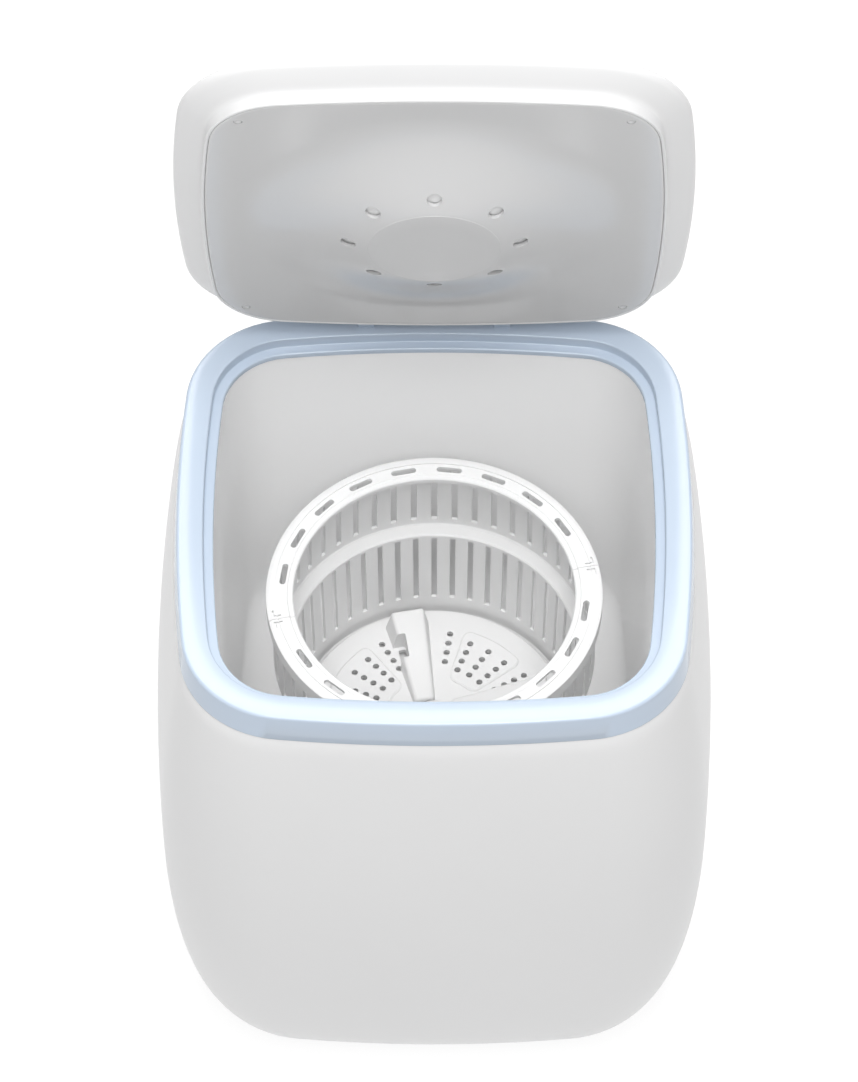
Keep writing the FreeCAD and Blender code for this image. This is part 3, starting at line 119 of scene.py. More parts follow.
@dataclass(frozen=True)
class Finish:
    """A moulded, cast or drawn surface with its colour, sheen and grain."""

    slot: str
    color: Color
    shade: Color
    roughness: float
    grain: Grain
    metallic: float = 0.0
    coat: float = 0.0
    specular: float = 0.5

    def material(self) -> bpy.types.Material:
        """Builds the finish once and hands back the same material after that.

        Returns:
            The node material of this finish.
        """
        name = "finish_" + self.slot
        if name in bpy.data.materials:
            return bpy.data.materials[name]
        grit = GRITS[self.grain]
        material = bpy.data.materials.new(name)
        material.use_nodes = True
        tree = material.node_tree
        tree.nodes.clear()
        output = add_node(tree, "OutputMaterial")
        shader = add_node(tree, "BsdfPrincipled", Metallic=self.metallic, Coat_Weight=self.coat,
                          Coat_Roughness=COAT_ROUGHNESS, Specular_IOR_Level=self.specular)
        place = add_node(tree, "TexCoord")
        turn = add_node(tree, "Mapping", Scale=(1.0, 1.0, grit.stretch))
        cloud = add_node(tree, "TexNoise", Scale=CLOUD_SCALE, Detail=3.0)
        tint = add_node(tree, "ValToRGB")
        for stop, position, color in zip(tint.color_ramp.elements, TINT_RANGE, (self.shade, self.color)):
            stop.position, stop.color = position, (*color, 1.0)
        grain = add_node(tree, "TexNoise", Scale=grit.scale, Detail=2.0)
        sheen = add_node(tree, "MapRange", To_Min=max(self.roughness - grit.uneven, LEAST_ROUGHNESS),
                         To_Max=self.roughness + grit.uneven)
        bump = add_node(tree, "Bump", Strength=grit.strength, Distance=grit.depth)
        for start, out, end, into in (
                (shader, "BSDF", output, "Surface"), (place, "Object", turn, "Vector"),
                (place, "Object", cloud, "Vector"), (cloud, "Fac", tint, "Fac"),
                (tint, "Color", shader, "Base Color"), (turn, "Vector", grain, "Vector"),
                (grain, "Fac", sheen, "Value"), (sheen, "Result", shader, "Roughness"),
                (grain, "Fac", bump, "Height"), (bump, "Normal", shader, "Normal")):
            tree.links.new(start.outputs[out], end.inputs[into])
        return material


WHITE_GLOSS = Finish("casing_white", (0.73, 0.73, 0.732), (0.72, 0.72, 0.722), 0.30, Grain.GLOSS,
                     specular=0.22)
PALE_BLUE = Finish("bezel_blue", (0.49, 0.57, 0.675), (0.48, 0.56, 0.665), 0.18, Grain.GLOSS)
LINER_GREY = Finish("liner_grey", (0.60, 0.60, 0.602), (0.59, 0.59, 0.592), 0.15, Grain.GLOSS, coat=0.12)
TUB_GREY = Finish("tub_grey", (0.95, 0.95, 0.951), (0.94, 0.94, 0.941), 0.34, Grain.GLOSS)
BASKET_WHITE = Finish("basket_white", (0.79, 0.79, 0.79), (0.78, 0.78, 0.78), 0.36, Grain.SATIN)
PULSATOR_WHITE = Finish("pulsator_white", (0.74, 0.74, 0.74), (0.728, 0.728, 0.728), 0.48, Grain.SATIN,
                        specular=0.25)
BASE_GREY = Finish("base_grey", (0.42, 0.42, 0.43), (0.38, 0.38, 0.39), 0.55, Grain.MATT)
DARK_PLASTIC = Finish("dark_plastic", (0.035, 0.036, 0.04), (0.025, 0.026, 0.03), 0.48, Grain.MATT)
BLACK_RUBBER = Finish("rubber", (0.022, 0.022, 0.023), (0.014, 0.014, 0.015), 0.72, Grain.RUBBER,
                      specular=0.3)
BOARD_GREEN = Finish("board_green", (0.02, 0.14, 0.05), (0.015, 0.10, 0.035), 0.35, Grain.SATIN, coat=0.4)
CAST_ALLOY = Finish("cast_alloy", (0.55, 0.56, 0.57), (0.45, 0.46, 0.47), 0.45, Grain.CAST, metallic=1.0)
PLATED_STEEL = Finish("motor_steel", (0.48, 0.49, 0.50), (0.38, 0.39, 0.41), 0.38, Grain.CAST, metallic=1.0)
BRASS = Finish("bush_brass", (0.62, 0.46, 0.20), (0.52, 0.37, 0.15), 0.34, Grain.CAST, metallic=1.0)
BRIGHT_STEEL = Finish("steel", (0.62, 0.62, 0.63), (0.52, 0.52, 0.53), 0.26, Grain.BRUSHED, metallic=1.0)
FINISHES: tuple[Finish, ...] = (
    WHITE_GLOSS, PALE_BLUE, LINER_GREY, TUB_GREY, BASKET_WHITE, PULSATOR_WHITE, BASE_GREY,
    DARK_PLASTIC, BLACK_RUBBER, BOARD_GREEN, CAST_ALLOY, PLATED_STEEL, BRASS, BRIGHT_STEEL,
)


@dataclass(frozen=True)
class Plan:
    """Rounded-square outline: four bulged sides joined by four corner arcs, as shares of the half width."""

    depth: float = 0.985
    corner: float = 0.41
    side: float = 6.14

    def reach(self, half: float, inset: float, angle: float) -> float:
        """Distance from the middle to the outline.

        Args:
            half: Half width of the outline before it is drawn inwards.
            inset: How far the outline is drawn inwards.
            angle: Direction from the middle, in radians.

        Returns:
            The distance in that direction.
        """
        side, corner = half * self.side - inset, half * self.corner - inset
        gap_x = half * (self.side - 1.0)
        gap_y = half * (self.side - self.depth)
        span = math.hypot(gap_x, gap_y)
        lift = math.sqrt((side - corner) ** 2 - span ** 2 / 4)
        cx = -gap_x / 2 + lift * gap_y / span
        cy = -gap_y / 2 + lift * gap_x / span
        far = side - corner
        low = math.atan2(cy + corner * cy / far, cx + corner * (cx + gap_x) / far)
        high = math.atan2(cy + corner * (cy + gap_y) / far, cx + corner * cx / far)
        c, s = abs(math.cos(angle)), abs(math.sin(angle))
        way = math.atan2(s, c)
        if way <= low:
            return -gap_x * c + math.sqrt(side ** 2 - (gap_x * s) ** 2)
        if way >= high:
            return -gap_y * s + math.sqrt(side ** 2 - (gap_y * c) ** 2)
        return cx * c + cy * s + math.sqrt(corner ** 2 - (cx * s - cy * c) ** 2)


PLAN = Plan()


class Sleeve:
    """A skin of closed loops round the drum axis, each one extruded from the loop before it."""

    def __init__(self) -> None:
        """Starts the skin from a circle."""
        self.bm = bmesh.new()
        made = bmesh.ops.create_circle(self.bm, cap_ends=False, segments=SKIN_SEGMENTS, radius=1.0)
        self.loop: list[bmesh.types.BMVert] = list(made["verts"])
        self.edges: list[bmesh.types.BMEdge] = list(self.bm.edges)
        self.first: list[bmesh.types.BMEdge] = list(self.edges)
        self.started = False

    def _lay(self, reach: Callable[[float], float], level: float) -> None:
        """Puts the next loop in place.

        Args:
            reach: Distance from the axis for a direction.
            level: Height of the loop.
        """
        if self.started:
            grown = bmesh.ops.extrude_edge_only(self.bm, edges=self.edges)["geom"]
            self.loop = [g for g in grown if isinstance(g, bmesh.types.BMVert)]
            fresh = set(self.loop)
            self.edges = [g for g in grown if isinstance(g, bmesh.types.BMEdge) and set(g.verts) <= fresh]
        self.started = True
        for vert in self.loop:
            angle = math.atan2(vert.co.y, vert.co.x)
            far = reach(angle)
            vert.co = Vector((far * math.cos(angle), far * math.sin(angle), level))

    def loops(self, half: float, line: Iterable[Level], radius: float = 0.0, roundness: float = 0.0,
              share: float = 1.0) -> None:
        """Adds loops that are rounded squares, or lie between one and a circle.

        Args:
            half: Half width of the square.
            line: (inset, level) of each loop; the inset draws the square inwards.
            radius: Radius of the circle.
            roundness: 0 for the square, 1 for the circle.
            share: Scale of the loops about the axis.
        """
        bulge, square = radius * roundness, 1 - roundness
        for inset, level in line:
            self._lay(lambda angle: (PLAN.reach(half, inset, angle) * square + bulge) * share, level)

    def circles(self, line: Iterable[Level]) -> None:
        """Adds round loops, each given as (radius, level)."""
        for radius, level in line:
            self._lay(lambda angle: radius, level)

    def close(self) -> Mesh:
        """Joins the last loop to the first and hands back the closed mesh."""
        bmesh.ops.bridge_loops(self.bm, edges=self.edges + self.first)
        return self.bm

    def cap(self) -> Mesh:
        """Fills the first and the last loop.

        Returns:
            The closed mesh.
        """
        bmesh.ops.edgeloop_fill(self.bm, edges=self.edges)
        bmesh.ops.edgeloop_fill(self.bm, edges=self.first)
        return self.bm


def eased(points: Sequence[Level], steps: int) -> list[Level]:
    """Smooth line through a few points.

    Args:
        points: The points, at least two.
        steps: Number of steps between neighbours.

    Returns:
        The points of the smooth line, the given ones among them.
    """
    line: list[Level] = []
    for i in range(len(points) - 1):
        before, start = points[max(i - 1, 0)], points[i]
        end, after = points[i + 1], points[min(i + 2, len(points) - 1)]
        for step in range(steps):
            t = step / steps
            line.append(tuple(
                0.5 * (2 * b + (c - a) * t + (2 * a - 5 * b + 4 * c - d) * t * t
                       + (3 * b - a - 3 * c + d) * t ** 3)
                for a, b, c, d in zip(before, start, end, after)))
    line.append(points[-1])
    return line


def arc(middle: Level, radius: float, start: float, end: float, steps: int) -> list[Level]:
    """Points of an arc in a section.

    Args:
        middle: Centre of the arc.
        radius: Radius of the arc.
        start: First angle in degrees.
        end: Last angle in degrees.
        steps: Number of steps.

    Returns:
        The points from start to end.
    """
    turns = [math.radians(start + (end - start) * i / steps) for i in range(steps + 1)]
    return [(middle[0] + radius * math.cos(t), middle[1] + radius * math.sin(t)) for t in turns]


def turned_shape(section: Sequence[Level], degrees: float = 360.0, steps: int = 96) -> Mesh:
    """Spins a closed section about the drum axis.

    Args:
        section: (radius, level) corners in order.
        degrees: Angle of the spin; the section starts on +X.
        steps: Number of steps.

    Returns:
        A closed mesh.
    """
    bm = bmesh.new()
    verts = [bm.verts.new((r, 0.0, z)) for r, z in section]
    edges = [bm.edges.new((verts[i], verts[(i + 1) % len(verts)])) for i in range(len(verts))]
    whole = degrees >= 360.0
    made = bmesh.ops.spin(bm, geom=verts + edges, cent=(0, 0, 0), axis=(0, 0, 1),
                          angle=math.radians(degrees), steps=steps, use_merge=whole)
    if not whole:
        bmesh.ops.edgeloop_fill(bm, edges=edges)
        last = [g for g in made["geom_last"] if isinstance(g, bmesh.types.BMEdge)]
        bmesh.ops.edgeloop_fill(bm, edges=last)
    bmesh.ops.remove_doubles(bm, verts=bm.verts, dist=1e-4)
    bmesh.ops.recalc_face_normals(bm, faces=bm.faces)
    return bm


def add_post(bm: Mesh, radius: float, low: float, high: float, x: float, y: float,
             segments: int = 32) -> None:
    """Adds an upright round post to a mesh.

    Args:
        bm: The mesh.
        radius: Radius of the post.
        low: Its foot.
        high: Its top.
        x: Its place across.
        y: Its place in depth.
        segments: Number of sides.
    """
    bmesh.ops.create_cone(bm, cap_ends=True, segments=segments, radius1=radius, radius2=radius,
                          depth=high - low, matrix=Matrix.Translation((x, y, (low + high) / 2)))


def round_edges(bm: Mesh, edges: list[bmesh.types.BMEdge], radius: float, segments: int) -> None:
    """Rounds edges of a mesh.

    Args:
        bm: The mesh.
        edges: The edges to round.
        radius: Radius of the rounding.
        segments: Number of steps across it.
    """
    bmesh.ops.bevel(bm, geom=edges, offset=radius, offset_type="OFFSET", affect="EDGES", segments=segments,
                    profile=0.5, material=-1)


def block(low: Sequence[float], high: Sequence[float], round_over: float = 0.0) -> Mesh:
    """Makes a block with rounded edges.

    Args:
        low: Lowest corner.
        high: Highest corner.
        round_over: Radius of its edges.

    Returns:
        The closed mesh.
    """
    bm = bmesh.new()
    start, end = Vector(low), Vector(high)
    place = Matrix.Translation((start + end) / 2) @ Matrix.Diagonal((*(end - start), 1.0))
    bmesh.ops.create_cube(bm, size=1.0, matrix=place)
    if round_over > 0:
        round_edges(bm, bm.edges[:], round_over, 3)
    return bm


def post_circle(bm: Mesh, radius: float, low: float, high: float, circle: float, turns: Iterable[float],
                segments: int = 32) -> None:
    """Adds upright posts round the drum axis to a mesh.

    Args:
        bm: The mesh.
        radius: Radius of a post.
        low: Foot of the posts.
        high: Top of the posts.
        circle: Distance of the posts from the axis.
        turns: Their directions, in degrees clockwise from the back.
        segments: Number of sides.
    """
    for degrees in turns:
        turn = math.radians(degrees)
        add_post(bm, radius, low, high, circle * math.sin(turn), circle * math.cos(turn), segments)


def spun(bm: Mesh, degrees: float) -> Mesh:
    """Turns a mesh about the drum axis.

    Args:
        bm: The mesh.
        degrees: Angle of the turn, anticlockwise from above.

    Returns:
        The same mesh.
    """
    turn = Matrix.Rotation(math.radians(degrees), 3, "Z")
    bmesh.ops.rotate(bm, cent=(0, 0, 0), matrix=turn, verts=bm.verts)
    return bm


def join(target: Mesh, source: Mesh) -> None:
    """Moves one mesh into another.

    Args:
        target: The mesh that grows.
        source: The mesh that is used up.
    """
    carrier = bpy.data.meshes.new("carrier")
    source.to_mesh(carrier)
    target.from_mesh(carrier)
    bpy.data.meshes.remove(carrier)
    source.free()


def at_corners(section: Sequence[Level], x: float, y: float, steps: int) -> Mesh:
    """Sets a turned shape at each of four corners.

    Args:
        section: (radius, level) corners of the shape.
        x: Half the spacing across.
        y: Half the spacing in depth.
        steps: Number of steps of the spin.

    Returns:
        The mesh of all four.
    """
    group = bmesh.new()
    for sx, sy in CORNERS:
        shape = turned_shape(section, steps=steps)
        bmesh.ops.translate(shape, vec=(sx * x, sy * y, 0), verts=shape.verts)
        join(group, shape)
    return group


def placed(name: str, bm: Mesh) -> bpy.types.Object:
    """Makes an object of the scene from a mesh.

    Args:
        name: Name of the object and its mesh data.
        bm: The mesh; it is used up.

    Returns:
        The object.
    """
    mesh = bpy.data.meshes.new(name)
    bm.to_mesh(mesh)
    bm.free()
    obj = bpy.data.objects.new(name, mesh)
    bpy.context.scene.collection.objects.link(obj)
    return obj


def carved(body: Mesh, tools: Iterable[Mesh]) -> Mesh:
    """Cuts tools out of a closed mesh.

    Args:
        body: The mesh that is cut; it is used up.
        tools: Closed meshes to cut away; they are used up.

    Returns:
        The cut mesh.
    """
    pieces: list[bpy.types.Object] = []
    for bm in (body, *tools):
        bmesh.ops.recalc_face_normals(bm, faces=bm.faces)
        pieces.append(placed("blank", bm))
    for tool in pieces[1:]:
        cut = pieces[0].modifiers.new("cut", "BOOLEAN")
        cut.operation, cut.solver, cut.object = "DIFFERENCE", "EXACT", tool
    graph = bpy.context.evaluated_depsgraph_get()
    done = bpy.data.meshes.new_from_object(pieces[0].evaluated_get(graph))
    result = bmesh.new()
    result.from_mesh(done)
    bpy.data.meshes.remove(done)
    for piece in pieces:
        mesh = piece.data
        bpy.data.objects.remove(piece)
        bpy.data.meshes.remove(mesh)
    bmesh.ops.remove_doubles(result, verts=result.verts, dist=1e-3)
    return result


@dataclass
class Piece:
    """One finished piece: its mesh, what it stands for, what it rides on and its finish."""

    name: str
    bm: Mesh
    finish: Finish
    body: Body
    nodes: tuple[str, ...] = ()
    round_over: float = 0.0
    crease: float = 38.0
    place: Optional[Matrix] = None

    def finish_off(self) -> bpy.types.Object:
        """Makes the object, softens its edges, parents it to its body and hides the nodes it stands for.

        Returns:
            The object, riding on its body.
        """
        bm = self.bm
        if self.place is not None:
            bmesh.ops.transform(bm, matrix=self.place, verts=bm.verts)
        bmesh.ops.scale(bm, vec=(MM, MM, MM), verts=bm.verts)
        for face in bm.faces:
            face.smooth = True
        obj = placed(self.name, bm)
        mesh = obj.data
        if self.round_over > 0:
            soft = obj.modifiers.new("edge", "BEVEL")
            soft.width, soft.segments, soft.limit_method = self.round_over * MM, 3, "ANGLE"
            soft.angle_limit, soft.harden_normals = math.radians(self.crease), True
            soft.miter_outer = "MITER_ARC"
        else:
            mesh.set_sharp_from_angle(angle=math.radians(self.crease))
        mesh.materials.append(self.finish.material())
        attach(obj, self.body.value)
        if self.nodes:
            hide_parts(*self.nodes)
        LOG.info("%s: %d faces, rides on %s", self.name, len(mesh.polygons), self.body.value)
        return obj


@dataclass
class Casing:
    """The egg-shaped outer shell and its rubber feet."""

    bottom_z: float = 11.0
    top_z: float = 409.0
    belly_z: float = 222.0
    belly_half: float = 187.3
    bottom_half: float = 142.9
    top_half: float = 171.5
    wall: float = 3.0
    lip: float = 12.0
    bay_half: float = 75.3
    bay_low: float = 55.7
    bay_high: float = 102.3
    bay_floor: float = 147.7
    bay_cut: float = 60.0
    foot_radius: float = 14.0
    foot_place: float = 84.0
    foot_height: float = 8.0
    stud: float = 4.0
    stud_height: float = 3.0
    top_edge: tuple[Level, ...] = ((1.2, 0.0), (0.45, 0.12), (0.05, 0.6))
    upper_steps: int = 14
    lower_steps: int = 28

    def stations(self, inset: float) -> list[Level]:
        """Wall line from the top edge down.

        Args:
            inset: Offset of the line towards the inside.

        Returns:
            (half width, level) stations.
        """
        line: list[Level] = []
        rise, draw = self.top_z - self.belly_z, self.belly_half - self.top_half
        for i in range(self.upper_steps):
            t = 1 - i / self.upper_steps
            slope = 2 * draw * t / rise
            norm = math.hypot(1, slope)
            line.append((self.belly_half - draw * t * t - inset / norm,
                         self.belly_z + rise * t - inset * slope / norm))
        wide, tall = self.belly_half - self.bottom_half, self.belly_z - self.bottom_z
        for i in range(self.lower_steps + 1):
            t = math.pi / 2 * i / self.lower_steps
            nx, nz = math.cos(t) / wide, math.sin(t) / tall
            norm = math.hypot(nx, nz)
            line.append((self.bottom_half + wide * math.cos(t) - inset * nx / norm,
                         self.belly_z - tall * math.sin(t) + inset * nz / norm))
        return line

    def shell(self) -> Mesh:
        """Wall of the casing with the window of the rear bay.

        Returns:
            The closed mesh.
        """
        outer, inner = self.stations(0.0), self.stations(self.wall)
        base, floor = self.bottom_half - self.lip, self.bottom_z + self.wall
        line = [(outer[0][0] - inset, self.top_z - drop) for inset, drop in self.top_edge] + outer[1:]
        line += [(base, self.bottom_z), (base, floor)]
        line += [station for station in reversed(inner[1:]) if station[1] > floor + 0.2]
        skin = Sleeve()
        for half, level in (*line, (inner[0][0], self.top_z)):
            skin.loops(half, [(0.0, level)])
        window = block((-self.bay_half, self.bay_floor, self.bay_low),
                       (self.bay_half, self.bay_floor + self.bay_cut, self.bay_high))
        return carved(skin.close(), [window])

    def feet(self) -> Mesh:
        """Four ribbed rubber feet.

        Returns:
            The mesh of all four.
        """
        r, h, stud = self.foot_radius, self.foot_height, self.stud
        section = [(0.0, 0.8), (stud, 0.8), (4.6, 0.0), (r - 2.4, 0.0), (r - 1.2, 0.5), (r - 0.4, 1.6),
                   (r, 2.6), (r, h - 3.2), (r - 0.9, h - 2.6), (r - 0.9, h - 1.8), (r, h - 1.2), (r, h),
                   (stud, h), (stud, h + self.stud_height), (0.0, h + self.stud_height)]
        return at_corners(section, self.foot_place, self.foot_place, 48)

    def build(self) -> None:
        """Makes the shell and the feet."""
        Piece("casing_shell", self.shell(), WHITE_GLOSS, Body.CABINET, ("outer_casing",)).finish_off()
        Piece("foot_pads", self.feet(), BLACK_RUBBER, Body.CABINET, ("rubber_feet",)).finish_off()


@dataclass(frozen=True)
class Hinge:
    """Knuckles shared by bezel and lid."""

    y: float = 160.004
    z: float = 437.0
    radius: float = 5.0
    width: float = 11.0
    gap: float = 0.5
    place: float = 28.5
    pin: float = 2.5
    pocket: float = 8.2
    bezel_play: float = 0.02
    lid_play: float = 0.04
    overrun: float = 2.0
    open_angle: float = 81.2

    def swing(self) -> Matrix:
        """Turn about the hinge axis that takes the closed lid to its open rest place."""
        axis = Matrix.Translation((0, self.y, self.z))
        return axis @ Matrix.Rotation(math.radians(-self.open_angle), 4, "X") @ axis.inverted()

    def spans(self, start: float, width: float) -> list[Level]:
        """Left and right ends of two spans, one on each side, that start this far from the middle."""
        return [(-start - width, -start), (start, start + width)]

    def bar(self, radius: float, left: float, right: float) -> Mesh:
        """Round bar along the hinge axis.

        Args:
            radius: Radius of the bar.
            left: Its left end.
            right: Its right end.

        Returns:
            The closed mesh.
        """
        bar = bmesh.new()
        place = Matrix.Translation(((left + right) / 2, self.y, self.z))
        bmesh.ops.create_cone(bar, cap_ends=True, segments=40, radius1=radius, radius2=radius,
                              depth=right - left, matrix=place @ Matrix.Rotation(math.pi / 2, 4, "Y"))
        return bar

    def bore(self, play: float, left: float, right: float) -> Mesh:
        """Cutter for the pin and some room round it, longer than the knuckle from left to right."""
        return self.bar(self.pin + play, left - self.overrun, right + self.overrun)


HINGE = Hinge()


@dataclass
class Bezel:
    """The pale ring round the mouth with its recessed lip and hinge knuckles."""

    half: float = 169.8
    flare_half: float = Casing.top_half
    low_z: float = Casing.top_z
    rim_z: float = 431.0
    edge: float = 2.0
    wall: float = 2.5
    top: float = 3.0
    face: float = 17.6
    lip_top: float = 423.0
    lip_low: float = 419.0
    mouth: float = 24.3
    face_round: float = 1.0
    step_round: float = 0.8
    lip_round: float = 1.2
    knuckle_foot: float = 1.0
    knuckle_drop: float = 2.0
    near: float = 0.1

    def ring(self) -> Mesh:
        """Section of the ring carried round the outline.

        Returns:
            The closed mesh.
        """
        fr, sr, lr, shoulder = self.face_round, self.step_round, self.lip_round, self.rim_z - self.edge
        inner, under = self.face - self.wall, self.rim_z - self.top
        skin = Sleeve()
        skin.loops(self.flare_half - 0.5, [(0.0, self.low_z)])
        skin.loops(self.flare_half - 0.02, [(0.0, self.low_z + 0.5)])
        skin.loops(self.half, [
            (0.0, shoulder), *arc((self.edge, shoulder), self.edge, 180, 90, 6)[1:],
            *arc((self.face - fr, self.rim_z - fr), fr, 90, 0, 4),
            *arc((self.face + sr, self.lip_top + sr), sr, 180, 270, 4),
            *arc((self.mouth - lr, self.lip_top - lr), lr, 90, 0, 5),
            (self.mouth, self.lip_low), (inner, self.lip_low), (inner, under), (self.wall, under),
            (self.wall, self.low_z)])
        return skin.close()

    def knuckles(self) -> Mesh:
        """Two bored knuckles standing on the ring.

        Returns:
            The mesh of both.
        """
        pair = bmesh.new()
        for left, right in HINGE.spans(HINGE.place + HINGE.width + HINGE.gap, HINGE.width):
            knuckle = HINGE.bar(HINGE.radius, left, right)
            for vert in knuckle.verts:
                across = vert.co.y - HINGE.y
                if vert.co.z < HINGE.z - self.near and abs(across) < HINGE.radius - self.near:
                    vert.co.z = self.rim_z - self.knuckle_foot
                elif vert.co.z < HINGE.z - self.near:
                    vert.co.y = HINGE.y + math.copysign(HINGE.radius, across)
                    vert.co.z = HINGE.z - self.knuckle_drop
            join(pair, carved(knuckle, [HINGE.bore(HINGE.bezel_play, left, right)]))
        return pair

    def build(self) -> None:
        """Makes the ring and its knuckles."""
        ring, knuckles = self.ring(), self.knuckles()
        Piece("bezel_ring", ring, PALE_BLUE, Body.CABINET, ("top_bezel",), crease=50.0).finish_off()
        Piece("bezel_knuckles", knuckles, PALE_BLUE, Body.CABINET, ("top_bezel",), 0.5).finish_off()


@dataclass
class Tub:
    """The tapered rounded-square tub under the bezel."""

    half: float = Bezel.half
    top_z: float = Bezel.lip_low
    floor_z: float = 168.0
    under_z: float = 164.0
    inset: float = 23.8
    taper: float = 14.0
    wall: float = 2.5
    fillet: float = 25.0
    flange_inset: float = 4.5
    flange: float = 3.0
    seal: float = 22.02
    post: float = 7.0
    post_low: float = 126.0
    post_place: float = 62.0
    spout: float = 11.0
    spout_length: float = 18.0
    spout_place: Level = (-45.0, 80.0)
    wall_steps: int = 8

    def side(self, offset: float, low_z: float) -> list[Level]:
        """One face of the wall from the rim to the floor, with its fillet.

        Args:
            offset: Added to the inset of the wall.
            low_z: Level of the floor.

        Returns:
            (inset, level) stations.
        """
        lean = self.taper / (self.top_z - low_z)
        turn = math.atan(lean)
        low_inset = self.inset + offset + self.taper
        centre_z = low_z + self.fillet
        centre = low_inset + self.fillet * math.tan((math.pi / 2 - turn) / 2)
        line: list[Level] = [(self.inset + offset, self.top_z)]
        start_z = centre_z + self.fillet * math.sin(turn)
        for i in range(1, self.wall_steps):
            level = self.top_z - (self.top_z - start_z) * i / self.wall_steps
            line.append((self.inset + offset + lean * (self.top_z - level), level))
        line += arc((centre, centre_z), self.fillet, 180 - math.degrees(turn), 270, 9)
        return line

    def shell(self) -> Mesh:
        """Tub with its flange, floor, drive posts and drain spout.

        Returns:
            The mesh.
        """
        inside, outside = self.side(0.0, self.floor_z), self.side(-self.wall, self.under_z)
        ledge, root = self.top_z - self.flange, self.under_z + 1
        skin = Sleeve()
        skin.loops(self.half, inside)
        for share in (0.8, 0.6, 0.4):
            skin.loops(self.half, [(inside[-1][0], self.floor_z)], self.seal * 2, 1 - share)
        skin.circles([(self.seal, self.floor_z), (self.seal, self.under_z)])
        for share in (0.4, 0.7):
            skin.loops(self.half, [(outside[-1][0], self.under_z)], self.seal * 2, 1 - share)
        skin.loops(self.half, [station for station in reversed(outside) if station[1] < ledge])
        flange = self.flange_inset
        skin.loops(self.half, [(outside[0][0], ledge), (flange, ledge), (flange, self.top_z)])
        shell = skin.close()
        post_circle(shell, self.post, self.post_low, root, self.post_place, range(45, 360, 90))
        add_post(shell, self.spout, self.under_z - self.spout_length, root, *self.spout_place)
        return shell

    def build(self) -> None:
        """Makes the tub."""
        Piece("tub_shell", self.shell(), TUB_GREY, Body.CABINET, ("inner_tub",), crease=50.0).finish_off()


